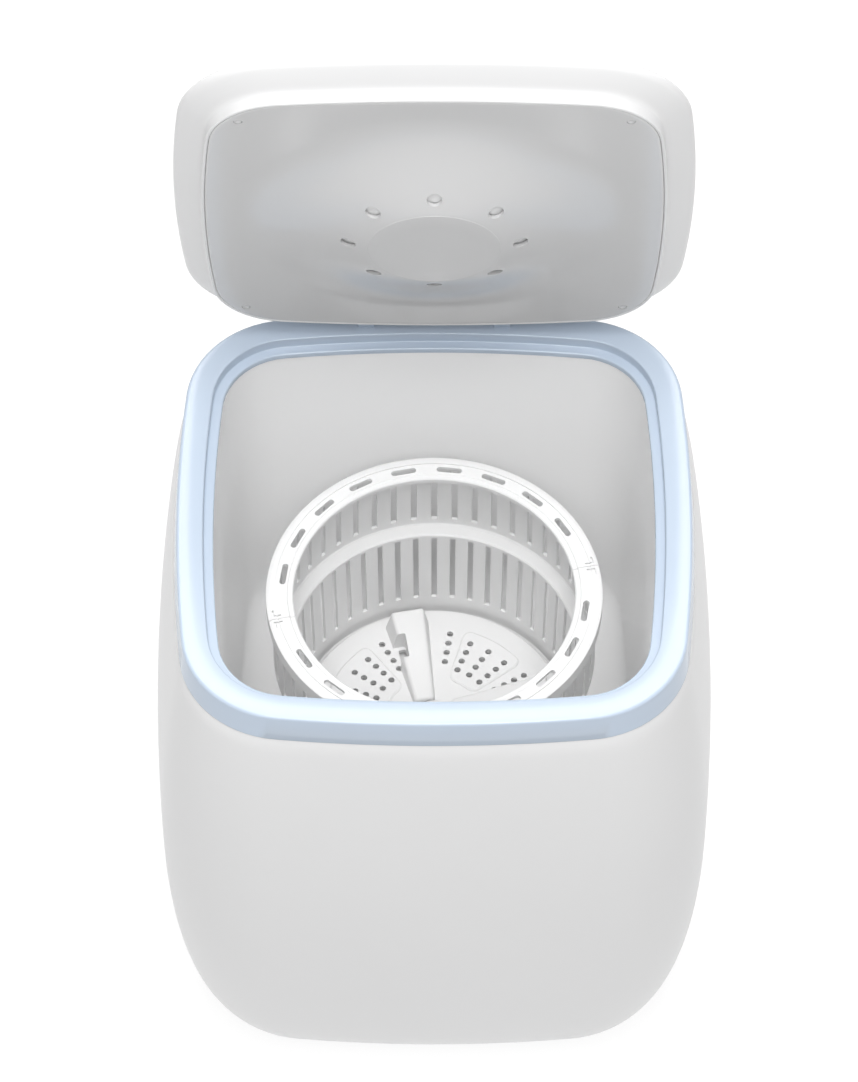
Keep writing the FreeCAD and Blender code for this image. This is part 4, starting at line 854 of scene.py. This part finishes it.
@dataclass
class Lid:
    """The domed lid and the grey liner with its bell, drawn closed and swung open."""

    half: float = Bezel.half
    skirt: float = 151.3
    edge_z: float = Bezel.lip_top + 0.5
    flare: float = 18.3
    flare_line: tuple[Level, ...] = ((0.0, 0.0), (0.01, 0.4), (0.04, 0.52), (0.15, 0.64), (0.45, 0.8),
                                     (0.78, 1.0), (0.93, 1.13), (1.0, 1.3))
    flare_height: float = 15.5
    round_width: float = 17.0
    round_height: float = 8.0
    dome: float = 5.0
    wall: float = 2.2
    liner: float = 2.5
    liner_inset: float = 20.9
    bell_depth: float = 24.0
    bell_flat: float = 43.5
    bell_lean: float = 1.1
    boss: float = 0.3
    bell_outer: float = 128.0
    vent_circle: float = 56.0
    vent: float = 5.0
    screw_x: float = 125.0
    screw_y: float = 122.5
    seat: float = 2.9
    seat_depth: float = 1.3
    punch: Level = (-4.0, 6.0)
    web: Level = (3.4, 8.0)
    web_round: float = 0.5
    baffle_margin: float = 3.0
    baffle_wall: float = 1.0
    border: float = 2.4
    rings: tuple[float, ...] = (1.0, 10.0, 20.0, 30.0)
    dome_steps: int = 12
    bell_steps: int = 24

    def side(self) -> list[Level]:
        """Outer line of the flared side.

        Returns:
            (half width, level) stations from skirt to crown.
        """
        line = [(self.skirt + out * self.flare, self.edge_z + up * self.flare_height)
                for out, up in self.flare_line]
        wide, top = line[-1]
        for degrees in range(15, 91, 15):
            turn = math.radians(degrees)
            line.append((wide - self.round_width * (1 - math.cos(turn)),
                         top + self.round_height * math.sin(turn)))
        return eased(line, 4)

    def crown(self, skin: Sleeve, rim: Level, shares: Iterable[float]) -> None:
        """Adds the loops of the dome inside its rim.

        Args:
            skin: The skin that grows.
            rim: (half width, level) of the rim.
            shares: Scales of the loops.
        """
        half, level = rim
        for share in shares:
            rise = self.dome * (1 - share ** 3)
            skin.loops(self.half, [(self.half - half, level + rise)], share=share)

    def shell(self) -> Mesh:
        """White shell of the lid with the pockets for the bezel's knuckles.

        Returns:
            The mesh, closed position.
        """
        outer = self.side()
        inner: list[Level] = []
        for i, (half, level) in enumerate(outer):
            h0, z0 = outer[max(i - 1, 0)]
            h1, z1 = outer[min(i + 1, len(outer) - 1)]
            norm = math.hypot(h1 - h0, z1 - z0)
            inner.append((half - self.wall * (z1 - z0) / norm, level + self.wall * (h1 - h0) / norm))
        shares = [i / self.dome_steps for i in range(1, self.dome_steps)]
        edge, skirt = self.edge_z, self.half - self.skirt
        skin = Sleeve()
        self.crown(skin, inner[-1], shares)
        skin.loops(self.half, [
            *((self.half - half, level) for half, level in reversed(inner[1:])),
            (skirt + self.wall, edge + 0.5), (skirt + self.wall - 0.5, edge), (skirt + 0.6, edge),
            (skirt, edge + 0.6), *((self.half - half, level) for half, level in outer[1:])])
        self.crown(skin, outer[-1], reversed(shares))
        shell = skin.cap()
        pockets = bmesh.new()
        for left, right in HINGE.spans(HINGE.place + HINGE.width, HINGE.width + 2 * HINGE.gap):
            join(pockets, HINGE.bar(HINGE.pocket, left, right))
        return carved(shell, [pockets])

    def knuckles(self) -> Mesh:
        """Two knuckles hanging from the lid.

        Returns:
            The mesh of both, closed position.
        """
        pair = bmesh.new()
        low, high = self.web
        for left, right in HINGE.spans(HINGE.place, HINGE.width):
            bore = HINGE.bore(HINGE.lid_play, left, right)
            join(pair, carved(HINGE.bar(HINGE.radius, left, right), [bore]))
            join(pair, block((left, HINGE.y - HINGE.radius, HINGE.z + low),
                             (right, HINGE.y + HINGE.radius, HINGE.z + high), self.web_round))
        return pair

    def panel(self) -> Mesh:
        """Grey liner: flat border, deep bell, vents and screw seats.

        Returns:
            The mesh, closed position.
        """
        flat_z, rim = self.edge_z - self.bell_depth, self.edge_z + self.liner
        proud, border = flat_z - self.boss, self.liner_inset + self.border
        skin = Sleeve()
        skin.circles([*((radius, proud) for radius in self.rings),
                      *arc((self.bell_flat - 0.5, proud + 0.25), 0.25, 270, 360, 3), *self.bell(0.0)])
        skin.loops(self.half, [(border, self.edge_z)], self.bell_outer, 0.5)
        skin.loops(self.half, [
            (border, self.edge_z), *arc((self.liner_inset + 0.7, self.edge_z + 0.7), 0.7, 270, 180, 3),
            (self.liner_inset, rim)])
        skin.loops(self.half, [(self.liner_inset, rim)], self.bell_outer, 0.5)
        skin.circles([*reversed(self.bell(self.liner)),
                      *((radius, flat_z + self.liner) for radius in reversed(self.rings))])
        body = skin.cap()
        vents = bmesh.new()
        low, high = flat_z + self.punch[0], self.edge_z + self.punch[1]
        post_circle(vents, self.vent, low, high, self.vent_circle, range(0, 360, 45), 28)
        for sx, sy in CORNERS:
            add_post(vents, self.seat, self.edge_z - 2, self.edge_z + self.seat_depth, sx * self.screw_x,
                     sy * self.screw_y, 28)
        return carved(body, [vents])

    def bell(self, lift: float) -> list[Level]:
        """Slope of the bell from its flat to its mouth.

        Args:
            lift: Added to the level.

        Returns:
            (radius, level) stations.
        """
        line: list[Level] = []
        for i in range(self.bell_steps + 1):
            t = i / self.bell_steps
            climb = t * t * (3 - 2 * t) + self.bell_lean * t * (1 - t) ** 2
            line.append((self.bell_flat + (self.bell_outer - self.bell_flat) * t,
                         self.edge_z - self.bell_depth + self.bell_depth * climb + lift))
        return line

    def baffle(self) -> Mesh:
        """Ring behind the vents that keeps spray out of the lid.

        Returns:
            The closed mesh, closed position.
        """
        reach, wall = self.vent + self.baffle_margin, self.baffle_wall
        low, high = self.vent_circle - reach, self.vent_circle + reach
        under = [(r, z) for r, z in self.bell(self.liner + wall) if low <= r <= high]
        over = [(r, z + wall) for r, z in reversed(under)]
        return turned_shape(under + over)

    def plugs(self) -> Mesh:
        """Four dished caps over the liner's screws.

        Returns:
            The mesh of all four, closed position.
        """
        z = self.edge_z
        section = [(0.0, z + 0.6), (1.0, z + 0.55), (1.6, z + 0.2), (2.1, z + 0.05), (2.5, z + 0.3),
                   (2.6, z + 0.7), (2.6, z + self.seat_depth), (0.0, z + self.seat_depth)]
        return at_corners(section, self.screw_x, self.screw_y, 32)

    def build(self) -> None:
        """Makes shell, knuckles, liner, baffle and caps and swings them open."""
        swing = HINGE.swing()
        for name, mesh, finish, nodes in (
                ("lid_dome", self.shell(), WHITE_GLOSS, ("lid_shell",)),
                ("lid_knuckles", self.knuckles(), WHITE_GLOSS, ("lid_shell",)),
                ("lid_panel", self.panel(), LINER_GREY, ("lid_liner",)),
                ("lid_baffle", self.baffle(), BASKET_WHITE, ()),
                ("lid_plugs", self.plugs(), LINER_GREY, ("lid_screws",))):
            Piece(name, mesh, finish, Body.LID, nodes, place=swing).finish_off()


@dataclass
class Basket:
    """The slotted two-tier basket and its ring in two halves."""

    ring_z: float = 343.0
    under_ring: float = 340.4
    ledge_z: float = 274.0
    floor_z: float = 187.0
    upper: float = 106.2
    lower: float = 96.6
    floor: float = 94.4
    wall: float = 2.2
    slots: int = 48
    slot: float = 4.1
    upper_slot: Level = (280.0, 335.4)
    lower_slot: Level = (204.0, 270.3)
    bore: float = 12.6
    ring_outer: float = 112.4
    ring_inner: float = 94.2
    skirt: float = 12.0
    ring_turn: float = -11.7
    ring_seam: float = 0.4
    cut_circle: float = 101.6
    cut_length: float = 17.0
    cut_width: float = 4.2
    cut_pitch: float = 17.45
    cuts: int = 9
    clip: tuple[tuple[float, float, float, float], ...] = (
        (2.4, 108.2, 109.4, 5.2), (1.4, 103.6, 109.4, 1.0))
    soft: float = 0.45
    crease: float = 50.0

    def lower_at(self, level: float) -> float:
        """Inner radius of the lower tier at a level."""
        share = (level - self.floor_z) / (self.ledge_z - self.floor_z)
        return self.floor + (self.lower - self.floor) * share

    def drum(self) -> Mesh:
        """One slotted sector bent out of a grid and spun round the axis.

        Returns:
            The inner face of the basket, open, facing the axis.
        """
        floor, ledge = self.floor_z, self.ledge_z
        rows: list[Level] = [
            (self.bore, floor), (60.0, floor), (self.floor - 1.2, floor), (self.floor, floor + 1.2),
            *((self.lower_at(level), level) for level in self.lower_slot),
            (self.lower - 0.05, ledge - 0.9), (self.lower + 0.9, ledge), (self.upper - 1.0, ledge),
            (self.upper, ledge + 1.0), *((self.upper, level) for level in self.upper_slot),
            (self.upper, self.under_ring)]
        pitch = 2 * math.pi / self.slots
        bm = bmesh.new()
        bmesh.ops.create_grid(bm, x_segments=5, y_segments=len(rows) - 1, size=0.5)
        for vert in bm.verts:
            column = round((vert.co.x + 0.5) * 5)
            radius, level = rows[round((vert.co.y + 0.5) * (len(rows) - 1))]
            gap = self.slot / 2 / self.upper
            turn = (-pitch / 2, -(pitch / 2 + gap) / 2, -gap, gap, (pitch / 2 + gap) / 2, pitch / 2)[column]
            vert.co = Vector((radius * math.sin(turn), radius * math.cos(turn), level))
        slots = (self.lower_slot, self.upper_slot)
        open_faces = []
        for face in bm.faces:
            middle = face.calc_center_median()
            if abs(middle.x) < 0.5 and any(low < middle.z < high for low, high in slots):
                open_faces.append(face)
        bmesh.ops.delete(bm, geom=open_faces, context="FACES")
        geom = bm.verts[:] + bm.edges[:] + bm.faces[:]
        bmesh.ops.spin(bm, geom=geom, cent=(0, 0, 0), axis=(0, 0, 1), steps=self.slots - 1,
                       angle=2 * math.pi * (self.slots - 1) / self.slots, use_duplicate=True)
        bmesh.ops.remove_doubles(bm, verts=bm.verts, dist=1e-3)
        bmesh.ops.recalc_face_normals(bm, faces=bm.faces)
        centres = {face: face.calc_center_median() for face in bm.faces}
        probe = min(centres, key=lambda f: abs(centres[f].z - self.ledge_z - 2.8) + abs(centres[f].x))
        if probe.normal.dot(Vector((*centres[probe].xy, 0))) > 0:
            bmesh.ops.reverse_faces(bm, faces=bm.faces)
        return bm

    def half_ring(self, middle: float) -> Mesh:
        """One half of the ring with its slots.

        Args:
            middle: Direction of its middle, in degrees clockwise from the back.

        Returns:
            The closed mesh.
        """
        z, i, o = self.ring_z, self.ring_inner, self.ring_outer
        section: list[Level] = [
            (i, z - 5), (i + 1.8, z - 5), (i + 1.8, self.under_ring), (o - 2, self.under_ring),
            (o - 2, z - self.skirt), (o, z - self.skirt), (o, z - 1.4), (o - 2.2, z), (o - 5.6, z),
            (o - 5.6, z - 0.9), (o - 6.6, z - 0.9), (o - 6.6, z), (i + 4.2, z), (i + 3.4, z - 0.9),
            (i + 0.8, z - 0.9), (i, z - 1.7)]
        trim = math.degrees(self.ring_seam / 2 / self.ring_outer)
        ring = spun(turned_shape(section, 180.0 - 2 * trim, 84), trim)
        cutters = bmesh.new()
        for k in range(self.cuts):
            cutter = bmesh.new()
            add_post(cutter, self.cut_width / 2, z - 6, z + 2, 0, 0, 24)
            for vert in cutter.verts:
                reach = (self.cut_length - self.cut_width) / 2
                vert.co.x += reach if vert.co.x > 0 else -reach
            bmesh.ops.translate(cutter, vec=(0, self.cut_circle, 0), verts=cutter.verts)
            join(cutters, spun(cutter, -(k - (self.cuts - 1) / 2) * self.cut_pitch))
        tools = [cutters]
        for turn, low, high, wide in self.clip:
            pair = bmesh.new()
            for side in (-1, 1):
                notch = block((-wide / 2, low, z - 2), (wide / 2, high, z + 2))
                join(pair, spun(notch, side * (90 - turn)))
            tools.append(pair)
        return spun(carved(ring, tools), -middle)

    def build(self) -> None:
        """Makes the drum and the two halves of its ring."""
        drum = Piece("basket_drum", self.drum(), BASKET_WHITE, Body.BASKET, ("spin_basket",)).finish_off()
        wall = drum.modifiers.new("wall", "SOLIDIFY")
        wall.thickness, wall.offset, wall.use_even_offset = self.wall * MM, -1.0, True
        soft = drum.modifiers.new("edge", "BEVEL")
        soft.width, soft.segments, soft.limit_method = self.soft * MM, 2, "ANGLE"
        soft.angle_limit, soft.harden_normals = math.radians(self.crease), True
        for name, node, middle in (("ring_half_back", "basket_ring_back", self.ring_turn),
                                   ("ring_half_front", "basket_ring_front", self.ring_turn + 180)):
            Piece(name, self.half_ring(middle), BASKET_WHITE, Body.BASKET, (node,), 0.3).finish_off()


@dataclass
class Pulsator:
    """The round pulsator with four ridges and perforated fan panels."""

    z: float = 194.0
    radius: float = 90.3
    thick: float = 3.0
    turn: float = -10.6
    rise: float = 1.4
    step: float = 0.4
    bank: float = 1.2
    panel: Level = (33.0, 76.0)
    spread: float = 18.3
    corner: float = 6.0
    punch: Level = (-6.0, 4.0)
    hole: float = 2.2
    hole_pitch: float = 7.8
    row_pitch: float = 12.3
    flank_row: float = 25.5
    panel_start: float = 42.6
    flank_start: float = 47.8
    blade: Level = (14.0, 82.0)
    blade_top: Level = (13.0, 22.5)
    blade_low: float = 5.0
    tall: float = 20.0
    low: float = 12.0
    slope: float = 4.0
    offset: float = -4.0
    notch: float = 54.0
    notch_half: float = 8.5
    notch_x: Level = (-30.0, -4.5)
    notch_z: Level = (-4.0, 30.0)
    notch_round: float = 1.2
    drain_x: Level = (-9.8, -4.6)
    drain_y: Level = (-5.5, 6.0)
    drain_round: float = 1.0
    ridge_round: float = 2.2
    sunk: float = 0.5
    hub: float = 13.0
    hub_rise: float = 4.0

    def drains(self) -> Mesh:
        """Punches for the slots in the disc under the notches of the tall ridges.

        Returns:
            The mesh of the punches.
        """
        punches = bmesh.new()
        (x0, x1), (y0, y1), (low, high) = self.drain_x, self.drain_y, self.punch
        for quarter in (0, 2):
            slot = block((self.offset + x0, self.notch + y0, self.z + low),
                         (self.offset + x1, self.notch + y1, self.z + high), self.drain_round)
            join(punches, spun(slot, -(self.turn + 90 * quarter)))
        return punches

    def holes(self) -> Mesh:
        """Punches for all the round holes.

        Returns:
            The mesh of the punches.
        """
        punches = bmesh.new()
        low, high = (self.z + level for level in self.punch)
        for quarter in range(4):
            middle = self.turn + 45 + 90 * quarter
            rows = [(i * self.row_pitch, self.panel_start) for i in (-1, 0, 1)]
            rows += [(-self.flank_row, self.flank_start), (self.flank_row, self.flank_start)]
            for offset, start in rows:
                for i in range(4):
                    post_circle(punches, self.hole, low, high, start + i * self.hole_pitch,
                                (middle + offset,), 20)
        return punches

    def fan(self, middle: float) -> Mesh:
        """One raised fan panel with rounded corners.

        Args:
            middle: Its direction in degrees clockwise from the back.

        Returns:
            The closed mesh.
        """
        bm = bmesh.new()
        ends = [bm.verts.new((0.0, r, self.z - self.sunk)) for r in self.panel]
        edge = bm.edges.new(ends)
        whole = math.radians(2 * self.spread)
        bmesh.ops.spin(bm, geom=ends + [edge], cent=(0, 0, 0), axis=(0, 0, 1), angle=whole, steps=60)
        for vert in bm.verts:
            far = math.hypot(vert.co.x, vert.co.y)
            way = math.atan2(-vert.co.x, vert.co.y) - whole / 2
            edge_gap = far * (whole / 2 - abs(way))
            cut = 0.0
            if edge_gap < self.corner:
                cut = self.corner - math.sqrt(max(self.corner ** 2 - (self.corner - edge_gap) ** 2, 0.0))
            far += cut if far < sum(self.panel) / 2 else -cut
            way -= math.radians(middle)
            vert.co = Vector((-far * math.sin(way), far * math.cos(way), self.z - self.sunk))
        made = bmesh.ops.extrude_face_region(bm, geom=bm.faces[:])["geom"]
        top = [g for g in made if isinstance(g, bmesh.types.BMVert)]
        bmesh.ops.translate(bm, vec=(0, 0, self.rise * self.step + self.sunk), verts=top)
        bmesh.ops.recalc_face_normals(bm, faces=bm.faces)
        crown = [f for f in bm.faces if f.normal.z > 0.9]
        bmesh.ops.inset_region(bm, faces=crown, thickness=self.bank, depth=self.rise * (1 - self.step),
                               use_even_offset=True)
        return bm

    def ridge(self, quarter: int) -> Mesh:
        """One wedge-shaped ridge.

        Args:
            quarter: Which of the four; the even ones are tall.

        Returns:
            The closed mesh.
        """
        high = self.tall if quarter % 2 == 0 else self.low
        bm = bmesh.new()
        bmesh.ops.create_cube(bm, size=2.0)
        for vert in bm.verts:
            sx, out, up = math.copysign(1, vert.co.x), vert.co.y > 0, vert.co.z > 0
            rise = high if out else self.blade_low
            top = self.blade_top[1 if out else 0] / 2
            far = self.blade[1 if out else 0]
            if up:
                vert.co = Vector((self.offset + sx * top, far - rise * 0.15, self.z + rise))
            else:
                wide = top + self.slope * rise / self.tall
                vert.co = Vector((self.offset + sx * wide, far, self.z - self.sunk))
        edges = [e for e in bm.edges if max(v.co.z for v in e.verts) > self.z + 2]
        round_edges(bm, edges, self.ridge_round, 4)
        if quarter % 2 == 0:
            (x0, x1), (z0, z1) = self.notch_x, self.notch_z
            window = block((self.offset + x0, self.notch - self.notch_half, self.z + z0),
                           (self.offset + x1, self.notch + self.notch_half, self.z + z1), self.notch_round)
            bm = carved(bm, [window])
        return spun(bm, -(self.turn + 90 * quarter))

    def build(self) -> None:
        """Makes disc, panels, ridges and hub as one moulding."""
        z, r = self.z, self.radius
        rim = arc((r - 1.2, z - 1.2), 1.2, 0, 90, 4)
        base = z - self.thick
        disc = turned_shape([(0.0, base), (r, base), *rim, (60.0, z), (30.0, z), (0.0, z)])
        body = carved(disc, [self.holes(), self.drains()])
        for quarter in range(4):
            join(body, carved(self.fan(self.turn + 45 + 90 * quarter), [self.holes()]))
            join(body, self.ridge(quarter))
        top, low = z + self.hub_rise, z - self.sunk
        crown = arc((self.hub - 1.5, top - 1.5), 1.5, 0, 90, 4)
        join(body, turned_shape([(0.0, low), (self.hub, low), *crown, (0.0, top)], steps=64))
        Piece("pulsator_disc", body, PULSATOR_WHITE, Body.PULSATOR, ("pulsator",), 0.3, 30.0).finish_off()


@dataclass(frozen=True)
class Softbox:
    """One soft square light: where it hangs, the length of its side and its power in watts."""

    name: str
    place: tuple[float, float, float]
    size: float
    power: float

    def hang(self, aim: Vector) -> None:
        """Adds the light to the scene.

        Args:
            aim: What it points at.
        """
        data = bpy.data.lights.new(self.name, "AREA")
        data.size, data.energy = self.size, self.power
        lamp = bpy.data.objects.new(self.name, data)
        lamp.location = Vector(self.place)
        lamp.rotation_euler = (aim - lamp.location).to_track_quat("-Z", "Y").to_euler()
        bpy.context.scene.collection.objects.link(lamp)


@dataclass
class Studio:
    """Floor, lights and camera, in metres."""

    focal: float = 252.9
    distance: float = 5.0
    elevation: float = 54.3
    aim: tuple[float, float, float] = (-0.0035, -0.0139, 0.421)
    lamp_aim: tuple[float, float, float] = (0.0, 0.0, 0.35)
    softboxes: tuple[Softbox, ...] = (
        Softbox("front_softbox", (0.0, -2.0, 3.4), 1.2, 42.0),
        Softbox("top_softbox", (0.0, -0.45, 4.0), 1.8, 82.0),
        Softbox("back_softbox", (0.0, 2.2, 3.5), 1.6, 42.0),
    )
    floor_half: float = 45.0
    floor_tone: float = 0.20
    floor_glow: float = 0.83
    sky: tuple[Level, ...] = ((0.0, 0.12), (0.9, 1.0))
    sky_strength: float = 0.66

    def floor(self) -> None:
        """Pale studio floor."""
        bm = bmesh.new()
        bmesh.ops.create_grid(bm, x_segments=8, y_segments=8, size=self.floor_half)
        obj = placed("studio_floor", bm)
        material = bpy.data.materials.new("studio_paper")
        material.use_nodes = True
        sockets = material.node_tree.nodes["Principled BSDF"].inputs
        sockets["Base Color"].default_value = (*[self.floor_tone] * 3, 1.0)
        sockets["Roughness"].default_value = 0.9
        sockets["Emission Color"].default_value = (1.0, 1.0, 1.0, 1.0)
        sockets["Emission Strength"].default_value = self.floor_glow
        obj.data.materials.append(material)

    def air(self) -> bpy.types.World:
        """Soft light from all round, bright overhead and dim at the horizon.

        Returns:
            The world of the scene.
        """
        world = bpy.data.worlds.new("studio_air")
        world.use_nodes = True
        tree = world.node_tree
        way, split, ramp = (add_node(tree, kind) for kind in ("TexCoord", "SeparateXYZ", "ValToRGB"))
        ramp.color_ramp.interpolation = "EASE"
        for stop, (position, tone) in zip(ramp.color_ramp.elements, self.sky):
            stop.position, stop.color = position, (tone, tone, tone, 1.0)
        air = tree.nodes["Background"].inputs
        tree.links.new(way.outputs["Generated"], split.inputs["Vector"])
        tree.links.new(split.outputs["Z"], ramp.inputs["Fac"])
        tree.links.new(ramp.outputs["Color"], air["Color"])
        air["Strength"].default_value = self.sky_strength
        return world

    def build(self) -> None:
        """Sets the stage."""
        scene = bpy.context.scene
        scene.view_settings.view_transform = "Standard"
        scene.view_settings.look = "None"
        self.floor()
        for softbox in self.softboxes:
            softbox.hang(Vector(self.lamp_aim))
        scene.world = self.air()
        data = bpy.data.cameras.new("photo_view")
        data.lens, data.sensor_fit, data.sensor_width = self.focal, "AUTO", 36.0
        data.clip_start, data.clip_end = 0.1, 150.0
        camera = bpy.data.objects.new("photo_view", data)
        lift = math.radians(self.elevation)
        back = Vector((0.0, -math.cos(lift), math.sin(lift)))
        camera.location = Vector(self.aim) + back * self.distance
        camera.rotation_euler = (-back).to_track_quat("-Z", "Y").to_euler()
        scene.collection.objects.link(camera)
        scene.camera = camera


def dress_nodes() -> None:
    """Gives every carried-over node the finish of its material slot."""
    by_slot = {finish.slot: finish for finish in FINISHES}
    for part in frame["record"]["subparts"]:
        node = frame["nodes"][part["node"]]
        node.data.materials.clear()
        node.data.materials.append(by_slot[part["material_slot"]].material())
        LOG.info("%s: %s", part["node"], part["material_slot"])


def main() -> None:
    """Builds the machine piece by piece and sets the stage."""
    logging.basicConfig(level=logging.INFO, format="%(message)s")
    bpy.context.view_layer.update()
    dress_nodes()
    for part in (Casing(), Bezel(), Tub(), Lid(), Basket(), Pulsator(), Studio()):
        part.build()


if __name__ == "__main__":
    main()
